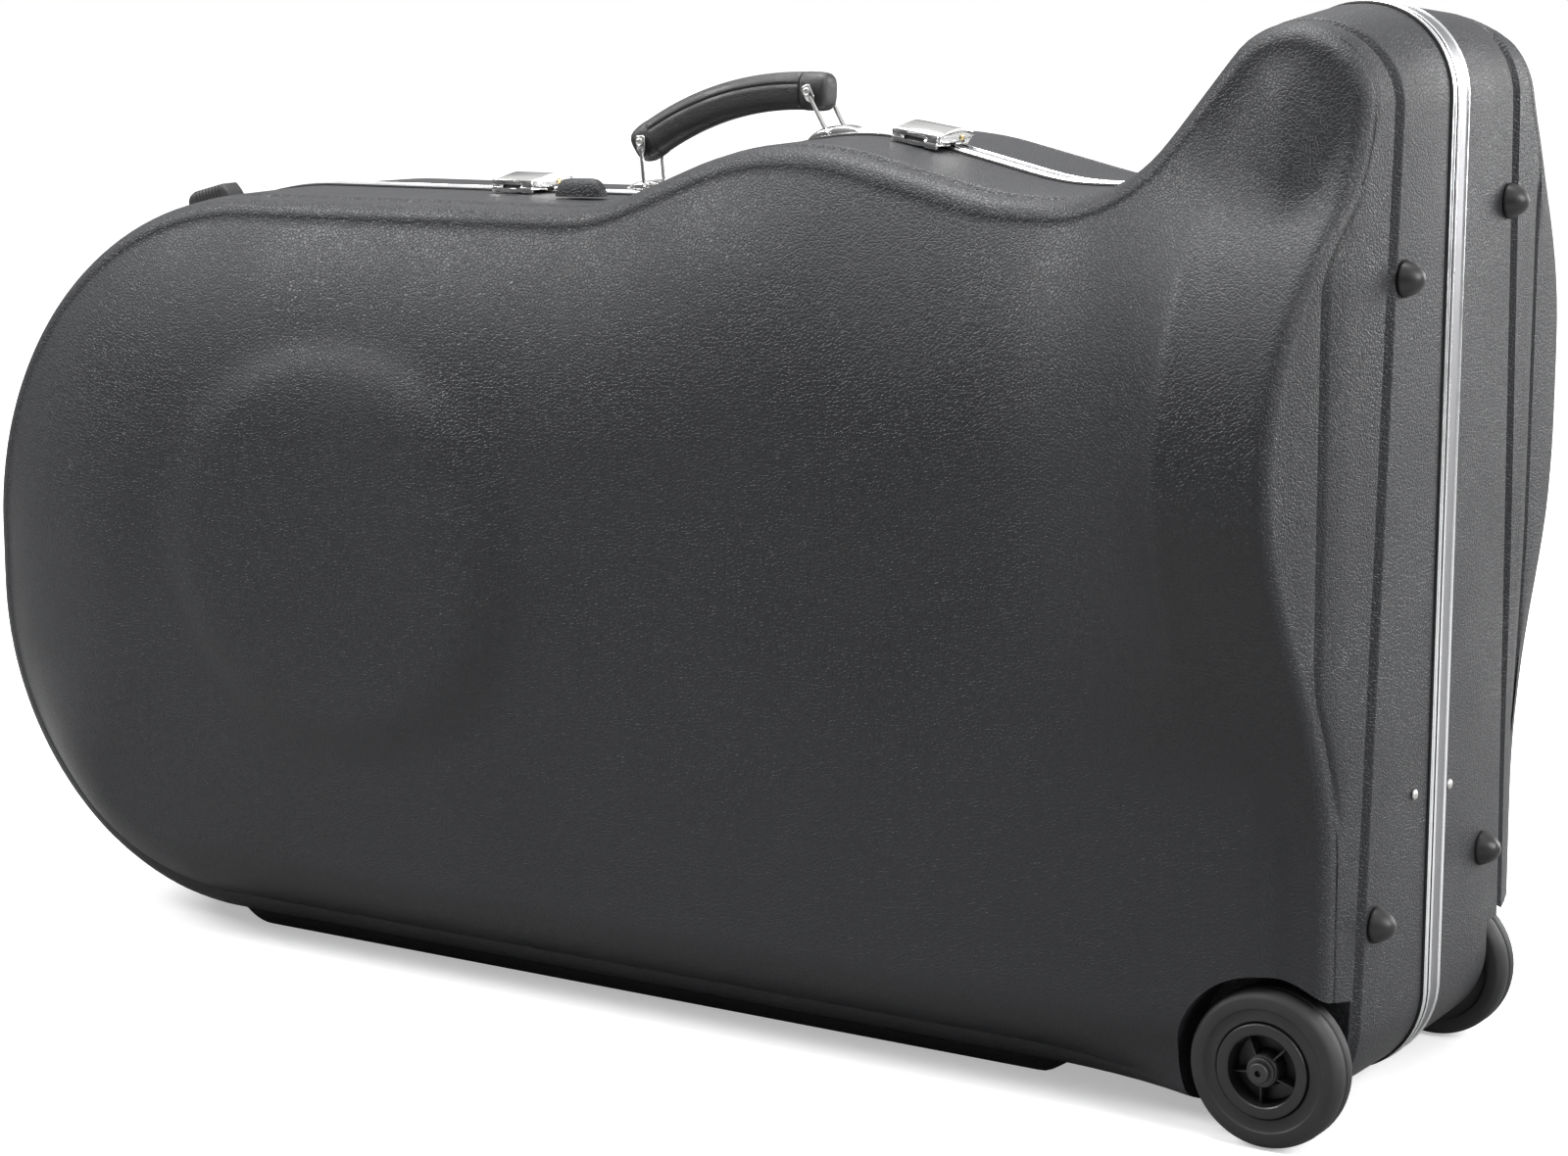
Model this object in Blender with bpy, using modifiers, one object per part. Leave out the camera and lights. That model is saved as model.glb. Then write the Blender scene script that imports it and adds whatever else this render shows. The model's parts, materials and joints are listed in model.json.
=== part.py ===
"""Hard case for a tuba: two moulded shells in an aluminium edge frame, hinged along the bottom, with
two draw latches, a carrying handle on wire bails and two transport wheels.

Metres, +Z up. The bell end faces +X. The far half, on +Y, is the body of the case and carries the
handle and the latch levers. The near half, on -Y, is the lid. The origin is on the floor at the centre.
"""
import bpy
import bmesh
import math
import numpy as np
from mathutils import Matrix, Vector

# Overall sizes
CASE_LENGTH = 1.126
BODY_HEIGHT = 0.545
BELL_HEIGHT = 0.686
FLOOR_CLEAR = 0.0115
BELL_RADIUS = 0.207
NEAR_DEPTH = 0.150
FAR_DEPTH = 0.158
WALL = 0.003

# Outline of the case, seen from the side
TAIL_TOP_RADIUS = 0.262
TAIL_LOW_RADIUS = 0.230
HEEL_RADIUS = 0.060
BELL_CORNER = 0.056
BELL_NECK_RUN = 0.091
BELL_NECK_DROP = 0.117
HUMP_BACK = 0.425
HUMP_RISE = 0.061
HUMP_FRONT_RUN = 0.163
HUMP_REAR_RUN = 0.140
HUMP_RADIUS = 0.220

# Moulded edge of each half
NEAR_BAND = 0.088
FAR_BAND = 0.114
GROOVE_DEEP = 0.005
LIP_RADIUS = 0.014
DOME_REACH = 0.150
FOOT_REACH = 0.045
NECK_DRAFT = 0.006

# Bell ridge across the face
BELL_CENTRE = 0.418
BELL_RIM_WIDTH = 0.098
BELL_FLARE = 0.150
BELL_EDGE_RADIUS = 0.010
CREASE_DEPTH = 0.154
CREASE_CUT = 0.004
END_DRAFT = 0.17
LENS_DRAFT = 0.26

# Standing ledge
LEDGE_REAR = 0.218
LEDGE_FRONT = 0.199
LEDGE_LIP = 0.0015
LEDGE_ROUND = 0.028

# Edge frame
FRAME_PROUD = 0.0011
FRAME_BEAD = 0.0026
FRAME_LEG = 0.012
NEAR_FRAME = 0.008
FAR_FRAME = 0.020
FRAME_JOINT = 0.5985

# Wheels
WHEEL_RADIUS = 0.050
WHEEL_WIDTH = 0.030
WHEEL_IN = 0.0445
WHEEL_OUTER = 0.150
WELL_GAP = 0.0085
WELL_WALL = 0.107
AXLE_RADIUS = 0.004

HUB_RADIUS = 0.030

# Bell end feet: distance from the parting plane and height of each
FOOT_HEIGHT = 0.019
FOOT_RADIUS = 0.0115
FOOT_SUNK = 0.0006
NEAR_FEET = ((0.070, 0.526), (0.084, 0.133))
FAR_FEET = ((0.098, 0.562), (0.090, 0.143))

# Carrying handle, set back from the bell end
HANDLE_LEFT = 0.5985
HANDLE_RIGHT = 0.4483
HANDLE_Y = 0.0175
BAIL_LENGTH = 0.0305
BAIL_SPREAD = 0.025
BAIL_WIRE = 0.0030
LEFT_LEAN = 5.5
RIGHT_LEAN = 30.0
GRIP_WIDTH = 0.021
GRIP_HEIGHT = 0.0265
GRIP_ARCH = 0.011
GRIP_LEFT_END = 0.0105
GRIP_RIGHT_END = 0.0115
PIN_RADIUS = 0.0014
BASE_REACH = 0.019
BAIL_SEAT = 0.0026

# Draw latches, set back from the bell end
LATCHES = (("latch_a", 0.6895), ("latch_b", 0.3628))
LATCH_WIDTH = 0.034
LATCH_REACH = 0.028
LATCH_HEIGHT = 0.0134
LATCH_RIVET_Y = 0.0056
LATCH_RIVET_Z = 0.0070

# Small mouldings on the near half
GUARD_AT = 0.617
BUMPER_AT = 0.950
BUMPER_LENGTH = 0.043
BUMPER_WIDTH = 0.018

# Hinges along the bottom, set back from the bell end
HINGES = (("a", 0.19), ("b", 0.53), ("c", 0.86))
HINGE_WIDTH = 0.060
KNUCKLE_RADIUS = 0.0024
HINGE_PIN = 0.0011

# Foam lining, and the span of each of its blocks: low X, low Z, high X, high Z
LINING_WALL = 0.016
LINING_GAP = 0.0028
FOAM_BLOCKS = (("bell", 0.300, -0.100, 0.600, 0.800), ("middle", -0.150, -0.100, 0.300, 0.800),
               ("tail_upper", -0.600, 0.270, -0.150, 0.800), ("tail_lower", -0.600, -0.100, -0.150, 0.270))

# Clearances
GAP = 0.0003
RUN = 0.0005

END_X = (CASE_LENGTH + FOOT_SUNK - FOOT_HEIGHT + FRAME_BEAD) / 2
TAIL_X = END_X - CASE_LENGTH
WHEEL_X = END_X - WHEEL_IN
HINGE_Z = FLOOR_CLEAR - 0.0062

COLLECTION = "tuba_case"
CUTTERS = "cutters"

ABS_COLOUR = (0.045, 0.046, 0.049)
PLUSH_COLOUR = (0.03, 0.03, 0.033)


def clear_scene():
    for obj in list(bpy.data.objects):
        bpy.data.objects.remove(obj, do_unlink=True)
    for name in (COLLECTION, CUTTERS):
        group = bpy.data.collections.new(name)
        bpy.context.scene.collection.children.link(group)


def material(name, colour, roughness, metallic=0.0):
    mat = bpy.data.materials.new(name)
    mat.use_nodes = True
    shader = mat.node_tree.nodes["Principled BSDF"]
    shader.inputs["Base Color"].default_value = (*colour, 1.0)
    shader.inputs["Roughness"].default_value = roughness
    shader.inputs["Metallic"].default_value = metallic
    mat.diffuse_color = (*colour, 1.0)
    return mat


def add_object(name, mesh, mat=None, group=COLLECTION):
    obj = bpy.data.objects.new(name, mesh)
    bpy.data.collections[group].objects.link(obj)
    if mat:
        mesh.materials.append(mat)
    if group == CUTTERS:
        obj.hide_render = True
        obj.display_type = "WIRE"
    return obj


def mesh_from(name, points, faces):
    mesh = bpy.data.meshes.new(name)
    mesh.from_pydata([tuple(map(float, p)) for p in points], [], faces)
    mesh.update()
    return mesh


def outward(mesh):
    bm = bmesh.new()
    bm.from_mesh(mesh)
    bmesh.ops.recalc_face_normals(bm, faces=bm.faces)
    bm.to_mesh(mesh)
    bm.free()


def smooth_by_angle(mesh, degrees=40):
    mesh.shade_smooth()
    mesh.set_sharp_from_angle(angle=math.radians(degrees))


def boolean(obj, cutter, operation="DIFFERENCE"):
    mod = obj.modifiers.new("cut", "BOOLEAN")
    mod.operation = operation
    mod.object = cutter
    mod.solver = "EXACT"
    return mod


def cylinder(name, radius, depth, centre, axis="Z", segments=24, mat=None, group=COLLECTION):
    mesh = bpy.data.meshes.new(name)
    bm = bmesh.new()
    bmesh.ops.create_cone(bm, cap_ends=True, segments=segments, radius1=radius, radius2=radius, depth=depth)
    bm.to_mesh(mesh)
    bm.free()
    smooth_by_angle(mesh)
    obj = add_object(name, mesh, mat, group)
    obj.location = centre
    if axis == "Y":
        obj.rotation_euler = (math.pi / 2, 0, 0)
    if axis == "X":
        obj.rotation_euler = (0, math.pi / 2, 0)
    return obj


def smoothstep(value):
    value = np.clip(value, 0.0, 1.0)
    return value * value * (3 - 2 * value)


def outline_corners():
    """Corners of the side outline with their radii, from the heel round the bell to the tail."""
    neck_top = END_X - BELL_CORNER - 0.030
    neck_foot = neck_top - BELL_NECK_RUN
    valley = BELL_HEIGHT - BELL_NECK_DROP
    hump = END_X - HUMP_BACK
    return [
        (END_X, FLOOR_CLEAR, HEEL_RADIUS),
        (END_X, BELL_HEIGHT, BELL_CORNER),
        (neck_top, BELL_HEIGHT, BELL_CORNER),
        (neck_foot, valley, 0.100),
        (hump + HUMP_FRONT_RUN, valley, 0.200),
        (hump, BODY_HEIGHT + HUMP_RISE, HUMP_RADIUS),
        (hump - HUMP_REAR_RUN, BODY_HEIGHT + 0.0045, 0.150),
        (TAIL_X, BODY_HEIGHT - 0.001, TAIL_TOP_RADIUS),
        (TAIL_X, FLOOR_CLEAR, TAIL_LOW_RADIUS),
    ]


def outline_path(spacing=0.0015):
    """Dense closed outline with rounded corners, and the index of the middle of each corner."""
    corners = outline_corners()
    count = len(corners)
    points = []
    middles = []
    for i, (x, z, radius) in enumerate(corners):
        here = Vector((x, z))
        before = (Vector(corners[i - 1][:2]) - here).normalized()
        after = (Vector(corners[(i + 1) % count][:2]) - here).normalized()
        half = before.angle(after) / 2
        centre = here + (before + after).normalized() * radius / math.sin(half)
        a = here + before * radius / math.tan(half) - centre
        b = here + after * radius / math.tan(half) - centre
        turn = a.angle(b)
        sign = 1 if a.x * b.y - a.y * b.x > 0 else -1
        steps = 40
        for k in range(steps + 1):
            angle = sign * turn * k / steps
            points.append((centre.x + a.x * math.cos(angle) - a.y * math.sin(angle),
                           centre.y + a.x * math.sin(angle) + a.y * math.cos(angle)))
        middles.append(points[-1 - steps // 2])
    ring = np.array(points + points[:1])
    length = np.concatenate([[0], np.cumsum(np.linalg.norm(np.diff(ring, axis=0), axis=1))])
    even = np.linspace(0, length[-1], int(length[-1] / spacing), endpoint=False)
    path = np.stack([np.interp(even, length, ring[:, k]) for k in (0, 1)], axis=1)
    return path, [int(np.argmin(((path - m) ** 2).sum(axis=1))) for m in middles]


def between(path, start, stop, targets):
    """Points of the path from one index to another, at the given fractions of its length."""
    count = len(path)
    indices = [start + k for k in range((stop - start) % count + 1)]
    piece = path[np.array(indices) % count]
    length = np.concatenate([[0], np.cumsum(np.linalg.norm(np.diff(piece, axis=0), axis=1))])
    fractions = length / length[-1]
    return np.stack([np.interp(targets, fractions, piece[:, k]) for k in (0, 1)], axis=1)


def at_positions(path, start, stop, xs):
    """Points of a side of the path at the given X positions, running from high X to low X."""
    count = len(path)
    indices = [start + k for k in range((stop - start) % count + 1)]
    piece = path[np.array(indices) % count]
    order = np.argsort(piece[:, 0])
    return np.stack([xs, np.interp(xs, piece[order, 0], piece[order, 1])], axis=1)


def bent_stops(piece, start, count):
    """X positions along a curve that runs to lower X, closer together where it bends."""
    piece = piece[piece[:, 0] <= start]
    step = np.linalg.norm(np.diff(piece, axis=0), axis=1)
    heading = np.unwrap(np.arctan2(np.diff(piece[:, 1]), np.diff(piece[:, 0])))
    bend = np.abs(np.gradient(heading)) / step
    bend = np.convolve(bend, np.ones(9) / 9, mode="same")
    filled = np.concatenate([[0], np.cumsum((np.sqrt(bend) + 0.8) * step)])
    wanted = filled[-1] * np.arange(1, count + 1) / count
    return np.interp(wanted, filled, piece[:, 0])


class Outline:
    """The outline sampled into four sides that face each other in pairs, for lofted grids."""

    def __init__(self, columns, rows, ledge=True):
        path, middles = outline_path()
        heel, bell = middles[0], middles[1]
        tail_top, tail_low = middles[7], middles[8]
        xs = self.column_positions(path, (heel, bell, tail_top, tail_low), columns, ledge)
        top = at_positions(path, bell, tail_top, xs[0])
        low = at_positions(path, tail_low, heel, xs[1])
        end = between(path, heel, bell, self.end_fractions(rows))
        tail = between(path, tail_top, tail_low, np.linspace(0, 1, rows + 1))
        self.columns = columns
        self.rows = rows
        self.points = np.concatenate([end[:-1], top[:-1], tail[:-1], low[::-1][:-1]])
        self.path = path
        self.count = len(self.points)
        self.normals = self.path_normals(path)

    @staticmethod
    def end_fractions(rows):
        """Places of the rows along the bell end: two steps in each corner, the rest close at the bell's arc."""
        foot, top = FLOOR_CLEAR + HEEL_RADIUS, BELL_HEIGHT - BELL_CORNER
        heel, bell = HEEL_RADIUS * math.pi / 4, BELL_CORNER * math.pi / 4
        whole = top - foot + heel + bell
        turn = BELL_RADIUS / math.sqrt(2)
        heights = list(np.linspace(foot, top, rows - 3))
        if rows > 8:
            arc = np.linspace(BELL_CENTRE - 0.85 * turn, BELL_CENTRE + turn, rows - 6)
            heights = [foot, 0.178] + list(arc) + [top]
        stops = [0, heel / 2] + [heel + height - foot for height in heights] + [whole - bell / 2, whole]
        return np.array(stops) / whole

    @staticmethod
    def column_positions(path, middles, columns, ledge):
        """X positions of the columns along the top and the bottom, close together at the bell."""
        heel, bell, tail_top, tail_low = middles
        rim = END_X - BELL_RIM_WIDTH
        near = [END_X - 0.030, END_X - 0.050, END_X - 0.072, rim, rim - 0.018, rim - 0.045, rim - 0.080]
        if not ledge:
            near = near[1::2]
        away = bent_stops(path[bell:tail_top + 1], near[-1], columns - len(near))
        below = list(near)
        if ledge:
            front, rear = END_X - LEDGE_FRONT - 0.030, TAIL_X + LEDGE_REAR
            straight = np.linspace(front, rear + LEDGE_ROUND, 6)
            below += [front + 0.030] + list(straight) + [rear + LEDGE_ROUND * 0.35, rear]
        low = np.concatenate([path[tail_low:], path[:heel + 1]])[::-1]
        below += list(bent_stops(low, below[-1], columns - len(below)))
        return [np.array([path[bell][0]] + near + list(away)), np.array([path[heel][0]] + below)]

    def path_normals(self, path):
        ahead = np.roll(path, -6, axis=0) - np.roll(path, 6, axis=0)
        ahead /= np.linalg.norm(ahead, axis=1)[:, None]
        normals = np.stack([ahead[:, 1], -ahead[:, 0]], axis=1)
        self.edge_normals = normals
        nearest = [int(np.argmin(((path - p) ** 2).sum(axis=1))) for p in self.points]
        return normals[nearest]

    def rounding(self, points):
        """How far in each point lies from the top, tail and bottom, as a share of the dome's reach there."""
        flat = points.reshape(-1, 2)
        keep = self.path[:, 0] < END_X - 0.02
        edge = self.path[keep][::5]
        down = np.clip(-self.edge_normals[keep][::5, 1], 0, 1)
        reach = DOME_REACH + (FOOT_REACH - DOME_REACH) * smoothstep(down)
        best = np.full(len(flat), 9.0)
        for start in range(0, len(edge), 64):
            delta = flat[:, None, :] - edge[None, start:start + 64, :]
            away = np.sqrt((delta ** 2).sum(axis=2)) - 0.017
            best = np.minimum(best, (away / reach[None, start:start + 64]).min(axis=1))
        return best.reshape(points.shape[:-1])

    def grid(self, ring):
        """A grid of points inside a ring that has the outline's sampling."""
        rows, columns = self.rows, self.columns
        end = ring[:rows + 1]
        top = ring[rows:rows + columns + 1]
        tail = ring[rows + columns:2 * rows + columns + 1]
        low = np.concatenate([ring[2 * rows + columns:], ring[:1]])[::-1]
        u = np.linspace(0, 1, columns + 1)[:, None, None]
        v = np.linspace(0, 1, rows + 1)[None, :, None]
        right, left = end[None, :, :], tail[::-1][None, :, :]
        upper, lower = top[:, None, :], low[:, None, :]
        corners = ((1 - u) * (1 - v) * end[0] + (1 - u) * v * end[-1]
                   + u * (1 - v) * tail[-1] + u * v * tail[0])
        return (1 - u) * right + u * left + (1 - v) * lower + v * upper - corners


class Half:
    """Depths of one half of the case, measured from the parting plane."""

    def __init__(self, side, band, depth, frame):
        self.side = side
        self.band = band
        self.depth = depth
        self.ledge = max(frame, FRAME_LEG) + LEDGE_LIP

    def groove(self, points, normals):
        """Depth of the groove that runs round the outline between the edge band and the face."""
        end = np.clip(normals[:, 0], 0, 1) ** 2
        return self.band + end * (0.016 - 0.045 * (points[:, 1] - 0.07))

    def edge(self):
        return self.band + 0.0075 + LIP_RADIUS

    def bell(self, z):
        """Depth of the bell's ridge at a height: an arc that runs out above and below."""
        turn = BELL_RADIUS / math.sqrt(2)
        top = self.band + 0.025
        low = max(self.depth - 0.007, self.band + 0.050)
        arc = np.sqrt(np.clip(BELL_RADIUS ** 2 - (z - BELL_CENTRE) ** 2, 0, None))
        neck = top + (turn - top) * np.exp(-np.clip(z - BELL_CENTRE - turn, 0, None) / (turn - top))
        upper = np.where(z > BELL_CENTRE + turn, neck, arc)
        lower = low + (BELL_RADIUS - low) * smoothstep((z - 0.178) / 0.235)
        return np.where(z > BELL_CENTRE, upper, lower)

    def face(self, outline, points):
        """Depth of the moulded face at points of the side view."""
        x, z = points[..., 0], points[..., 1]
        edge = self.edge()
        far = 1 - (1 - np.clip(outline.rounding(points), 0, 1)) ** 2
        end = 1 - (1 - np.clip((END_X - x - 0.012) / 0.045, 0, 1)) ** 2
        body = edge + (self.depth - edge) * far * end
        disc = np.hypot((x - TAIL_X - 0.370) / 1.05, z - 0.305)
        body = body + 0.006 * smoothstep((0.152 - disc) / 0.028) * smoothstep((0.50 - z) / 0.10)
        flare = np.clip(1 - (END_X - BELL_RIM_WIDTH - x) / BELL_FLARE, 0, 1) ** 2
        ridge = body + (self.bell(z) - body) * flare
        return soft_max(body, ridge, 0.006)


def soft_max(a, b, width):
    blend = np.clip(0.5 + 0.5 * (b - a) / width, 0, 1)
    return a + (b - a) * blend + width * blend * (1 - blend) * 0.5


def ledge_weight(points, normals):
    x = points[:, 0]
    rear = 1 - (1 - np.clip((x - TAIL_X - LEDGE_REAR) / LEDGE_ROUND, 0, 1)) ** 2
    front = smoothstep((END_X - LEDGE_FRONT - x) / 0.030)
    return rear * front * (normals[:, 1] < -0.8)


def wall_depth(outline, half, points, thick):
    """Depth of the skin that lies the given thickness inside the face."""
    depth = half.face(outline, points) - thick
    if thick:
        for reach, rise in ((0.70, 0.72), (0.95, 0.32)):
            for k in range(8):
                angle = math.pi * k / 4
                away = np.array([math.cos(angle), math.sin(angle)]) * thick * reach
                depth = np.minimum(depth, half.face(outline, points + away) - thick * rise)
    return depth


def band_rows(outline, half, thick, start):
    """Depth and inset of the rings across the edge band, from the rim to the groove."""
    groove = half.groove(outline.points, outline.normals)
    foot = ledge_weight(outline.points, outline.normals)
    even = np.zeros(outline.count)
    deep = 0.0015 + GROOVE_DEEP + even
    rows = [(start + even, even), (half.ledge + thick + even, 0.0003 + even),
            (half.ledge + 0.004 + thick + even, 0.0003 - (FLOOR_CLEAR + 0.0003) * foot),
            (groove - 0.0035 - thick, 0.0015 - (FLOOR_CLEAR + 0.0015) * foot),
            (groove - 0.3 * thick, deep)]
    if not thick:
        rows.append((groove + 0.003, deep))
    return [(depth, inset + thick) for depth, inset in rows]


def end_rows(half, lip, bell, z, thick):
    """Depth and inset of the rings across the bell end: its draft, a crease, a lens and a crisp edge."""
    crease = np.minimum(CREASE_DEPTH, bell - BELL_EDGE_RADIUS - 0.006)
    cut = CREASE_CUT * smoothstep((z - 0.20) / 0.04) * smoothstep((0.58 - z) / 0.03)

    def slope(depth):
        beyond = np.clip(depth - crease, 0, None)
        return 0.003 + END_DRAFT * (np.minimum(depth, crease) - lip) + LENS_DRAFT * beyond

    turn = bell - BELL_EDGE_RADIUS
    reach = slope(turn) + BELL_EDGE_RADIUS
    if thick:
        return [(depth, slope(depth) + cut / 2 + thick) for depth in (lip, turn)], reach
    rows = [(lip, slope(lip)), (crease - 0.004, slope(crease - 0.004)), (crease, slope(crease) + cut),
            (crease + 0.005, slope(crease + 0.005)), (turn, slope(turn)),
            (turn + 0.7 * BELL_EDGE_RADIUS, slope(turn) + 0.3 * BELL_EDGE_RADIUS)]
    return rows, reach


def half_rings(outline, half, thick, start):
    """Rings of one skin of a half, from its rim to the edge of its face, as (points, depths)."""
    points, normals = outline.points, outline.normals
    groove = half.groove(points, normals)
    lip = groove + 0.0075
    weight = smoothstep((normals[:, 0] - 0.25) / 0.7)
    draft = NECK_DRAFT * np.clip(normals[:, 1], 0, 1) * smoothstep((points[:, 1] - 0.56) / 0.06)
    draft = draft * smoothstep((points[:, 0] - END_X + 0.26) / 0.05)
    ends, end_reach = end_rows(half, lip, half.bell(points[:, 1]), points[:, 1], thick)
    reach = 0.003 + LIP_RADIUS
    reach = reach + (end_reach - reach) * weight
    border = points - normals * (reach + draft)[:, None]
    height = half.face(outline, border)
    rows = band_rows(outline, half, thick, start)
    angles = (0, 50) if thick else (0, 12, 26, 42, 58, 74)
    for degrees, (end_depth, end_inset) in zip(angles, ends):
        angle = math.radians(degrees)
        inset = 0.003 + (reach - 0.003) * (1 - math.cos(angle)) + thick * math.cos(angle)
        depth = lip + (height - lip) * math.sin(angle) - thick * math.sin(angle)
        rows.append((depth + (end_depth - depth) * weight, inset + (end_inset - inset) * weight))
    rings = []
    for depth, inset in rows:
        lean = draft * np.clip((depth - 0.02) / (groove - 0.02), 0, 1)
        rings.append((points - normals * (inset + lean)[:, None], depth))
    rings.append((border, wall_depth(outline, half, border, thick)))
    return rings


def half_body(name, outline, half, thick, start):
    """Closed body inside one skin of a half, flat at its rim."""
    rings = half_rings(outline, half, thick, start)
    grid = outline.grid(rings[-1][0])
    return skin_mesh(name, outline, half, rings, grid, wall_depth(outline, half, grid, thick))


def skin_mesh(name, outline, half, rings, grid, depth):
    """Closed mesh of rings from the rim inwards, a grid over the face and a flat rim."""
    points = []
    for ring, level in rings:
        points += [(x, half.side * y, z) for (x, z), y in zip(ring, level)]
    count = outline.count
    faces = [tuple(range(count))]
    for row in range(len(rings) - 1):
        for i in range(count):
            j = (i + 1) % count
            a, b = row * count, (row + 1) * count
            faces += [(a + i, a + j, b + j), (a + i, b + j, b + i)]
    index = np.full(grid.shape[:2], -1)
    last = (len(rings) - 1) * count
    columns, rows = outline.columns, outline.rows
    for v in range(rows + 1):
        index[0, v] = last + v
        index[columns, rows - v] = last + rows + columns + v
    for u in range(columns + 1):
        index[u, rows] = last + rows + u
        index[columns - u, 0] = last + (2 * rows + columns + u) % count
    for u in range(1, columns):
        for v in range(1, rows):
            index[u, v] = len(points)
            points.append((grid[u, v, 0], half.side * depth[u, v], grid[u, v, 1]))
    for u in range(columns):
        for v in range(rows):
            a, b, c, d = index[u, v], index[u + 1, v], index[u + 1, v + 1], index[u, v + 1]
            faces += [(a, b, c), (a, c, d)]
    mesh = mesh_from(name, points, [tuple(int(i) for i in f) for f in faces])
    outward(mesh)
    return mesh


def shell(name, outline, half, mat):
    """One moulded shell: its outer skin less its inner skin, each cut for the wheel's arch."""
    obj = add_object(name, half_body(name, outline, half, 0, 0.0025), mat)
    inner = add_object(name + "_hollow", half_body(name, outline, half, WALL, -0.01), group=CUTTERS)
    for target, extra in ((obj, 0), (inner, WALL)):
        wall = WELL_WALL - extra
        depth = 0.14
        well = cylinder(name + "_well", WHEEL_RADIUS + WELL_GAP + extra, depth,
                        (WHEEL_X, half.side * (wall + depth / 2), WHEEL_RADIUS), "Y", 40, group=CUTTERS)
        boolean(target, well)
    boolean(obj, inner)
    smooth_by_angle(obj.data, 35)
    return obj


def cavity(name, outline, half):
    """Closed body of the room inside the lining of a half."""
    points, normals = outline.points, outline.normals
    groove = half.groove(points, normals)
    border = points - normals * 0.036
    bottom = half.face(outline, border) - WALL - LINING_WALL
    rows = [(-0.01 + 0 * groove, 0.027), (groove - 0.030, 0.028), (groove - 0.008, 0.032)]
    rings = [(points - normals * inset, depth) for depth, inset in rows]
    rings.append((border, np.maximum(bottom - 0.004, groove - 0.002)))
    inner = points - normals * 0.050
    rings.append((inner, half.face(outline, inner) - WALL - LINING_WALL))
    grid = outline.grid(rings[-1][0])
    return skin_mesh(name, outline, half, rings, grid, half.face(outline, grid) - WALL - LINING_WALL)


def lining(label, outline, inner, half, mat):
    """Plush covered foam in four blocks that follow the shell's inner skin, hollow for the instrument."""
    clear = WALL + LINING_GAP
    body = half_body(label + "_foam", outline, half, clear, FRAME_LEG + 0.0008)
    room = add_object(label + "_room", cavity(label + "_room", inner, half), group=CUTTERS)
    wells = []
    for extra in (clear, clear + LINING_WALL):
        depth = 0.16
        wall = WELL_WALL - extra
        wells.append(cylinder(label + "_foam_well", WHEEL_RADIUS + WELL_GAP + extra, depth,
                              (WHEEL_X, half.side * (wall + depth / 2), WHEEL_RADIUS), "Y", 28, group=CUTTERS))
    boolean(room, wells[1])
    blocks = []
    for where, low_x, low_z, high_x, high_z in FOAM_BLOCKS:
        obj = add_object("%s_lining_%s" % (label, where), body.copy(), mat)
        if where == "bell":
            boolean(obj, wells[0])
        low, high = (low_x + GAP / 2, -0.30, low_z + GAP / 2), (high_x - GAP / 2, 0.30, high_z - GAP / 2)
        boolean(obj, block(label + "_slab", low, high, group=CUTTERS), "INTERSECT")
        boolean(obj, room)
        blocks.append(obj)
    return blocks


def ring_loft(name, rings, mat=None, closed=False, group=COLLECTION):
    """Closed body through rings of points, joined end to end or capped."""
    count = len(rings[0])
    points = [p for ring in rings for p in ring]
    faces = []
    turns = len(rings) if closed else len(rings) - 1
    for row in range(turns):
        a, b = row * count, ((row + 1) % len(rings)) * count
        for i in range(count):
            j = (i + 1) % count
            faces.append((a + i, a + j, b + j, b + i))
    if not closed:
        faces.append(tuple(range(count)))
        faces.append(tuple(range(len(points) - count, len(points))))
    mesh = mesh_from(name, points, faces)
    outward(mesh)
    smooth_by_angle(mesh, 35)
    return add_object(name, mesh, mat, group)


def frame_lengths(name, outline, section, side, mat):
    """Two lengths of an extrusion bent round the outline, butted at the top and the bottom.

    Section points are (outward, depth).
    """
    rings = []
    for point, normal in zip(outline.points, outline.normals):
        rings.append(np.array([(point[0] + normal[0] * out, side * depth, point[1] + normal[1] * out)
                               for out, depth in section]))
    joint = END_X - FRAME_JOINT
    pieces = []
    for where, sign in (("front", 1), ("rear", -1)):
        kept = sign * (outline.points[:, 0] - joint) > 0.002
        order = [i for i in range(len(kept)) if kept[i]]
        first = next(i for i in order if not kept[i - 1])
        order = [(first + k) % len(kept) for k in range(len(order))]
        ends = []
        for inside, outside in ((order[0], order[0] - 1), (order[-1], (order[-1] + 1) % len(kept))):
            reach = joint + sign * GAP / 2 - outline.points[inside, 0]
            share = reach / (outline.points[outside, 0] - outline.points[inside, 0])
            ends.append(rings[inside] + (rings[outside] - rings[inside]) * share)
        lofted = [ends[0]] + [rings[i] for i in order] + [ends[1]]
        lofted = [[tuple(p) for p in ring] for ring in lofted]
        pieces.append(ring_loft(name + "_" + where, lofted, mat))
    return pieces


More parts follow.
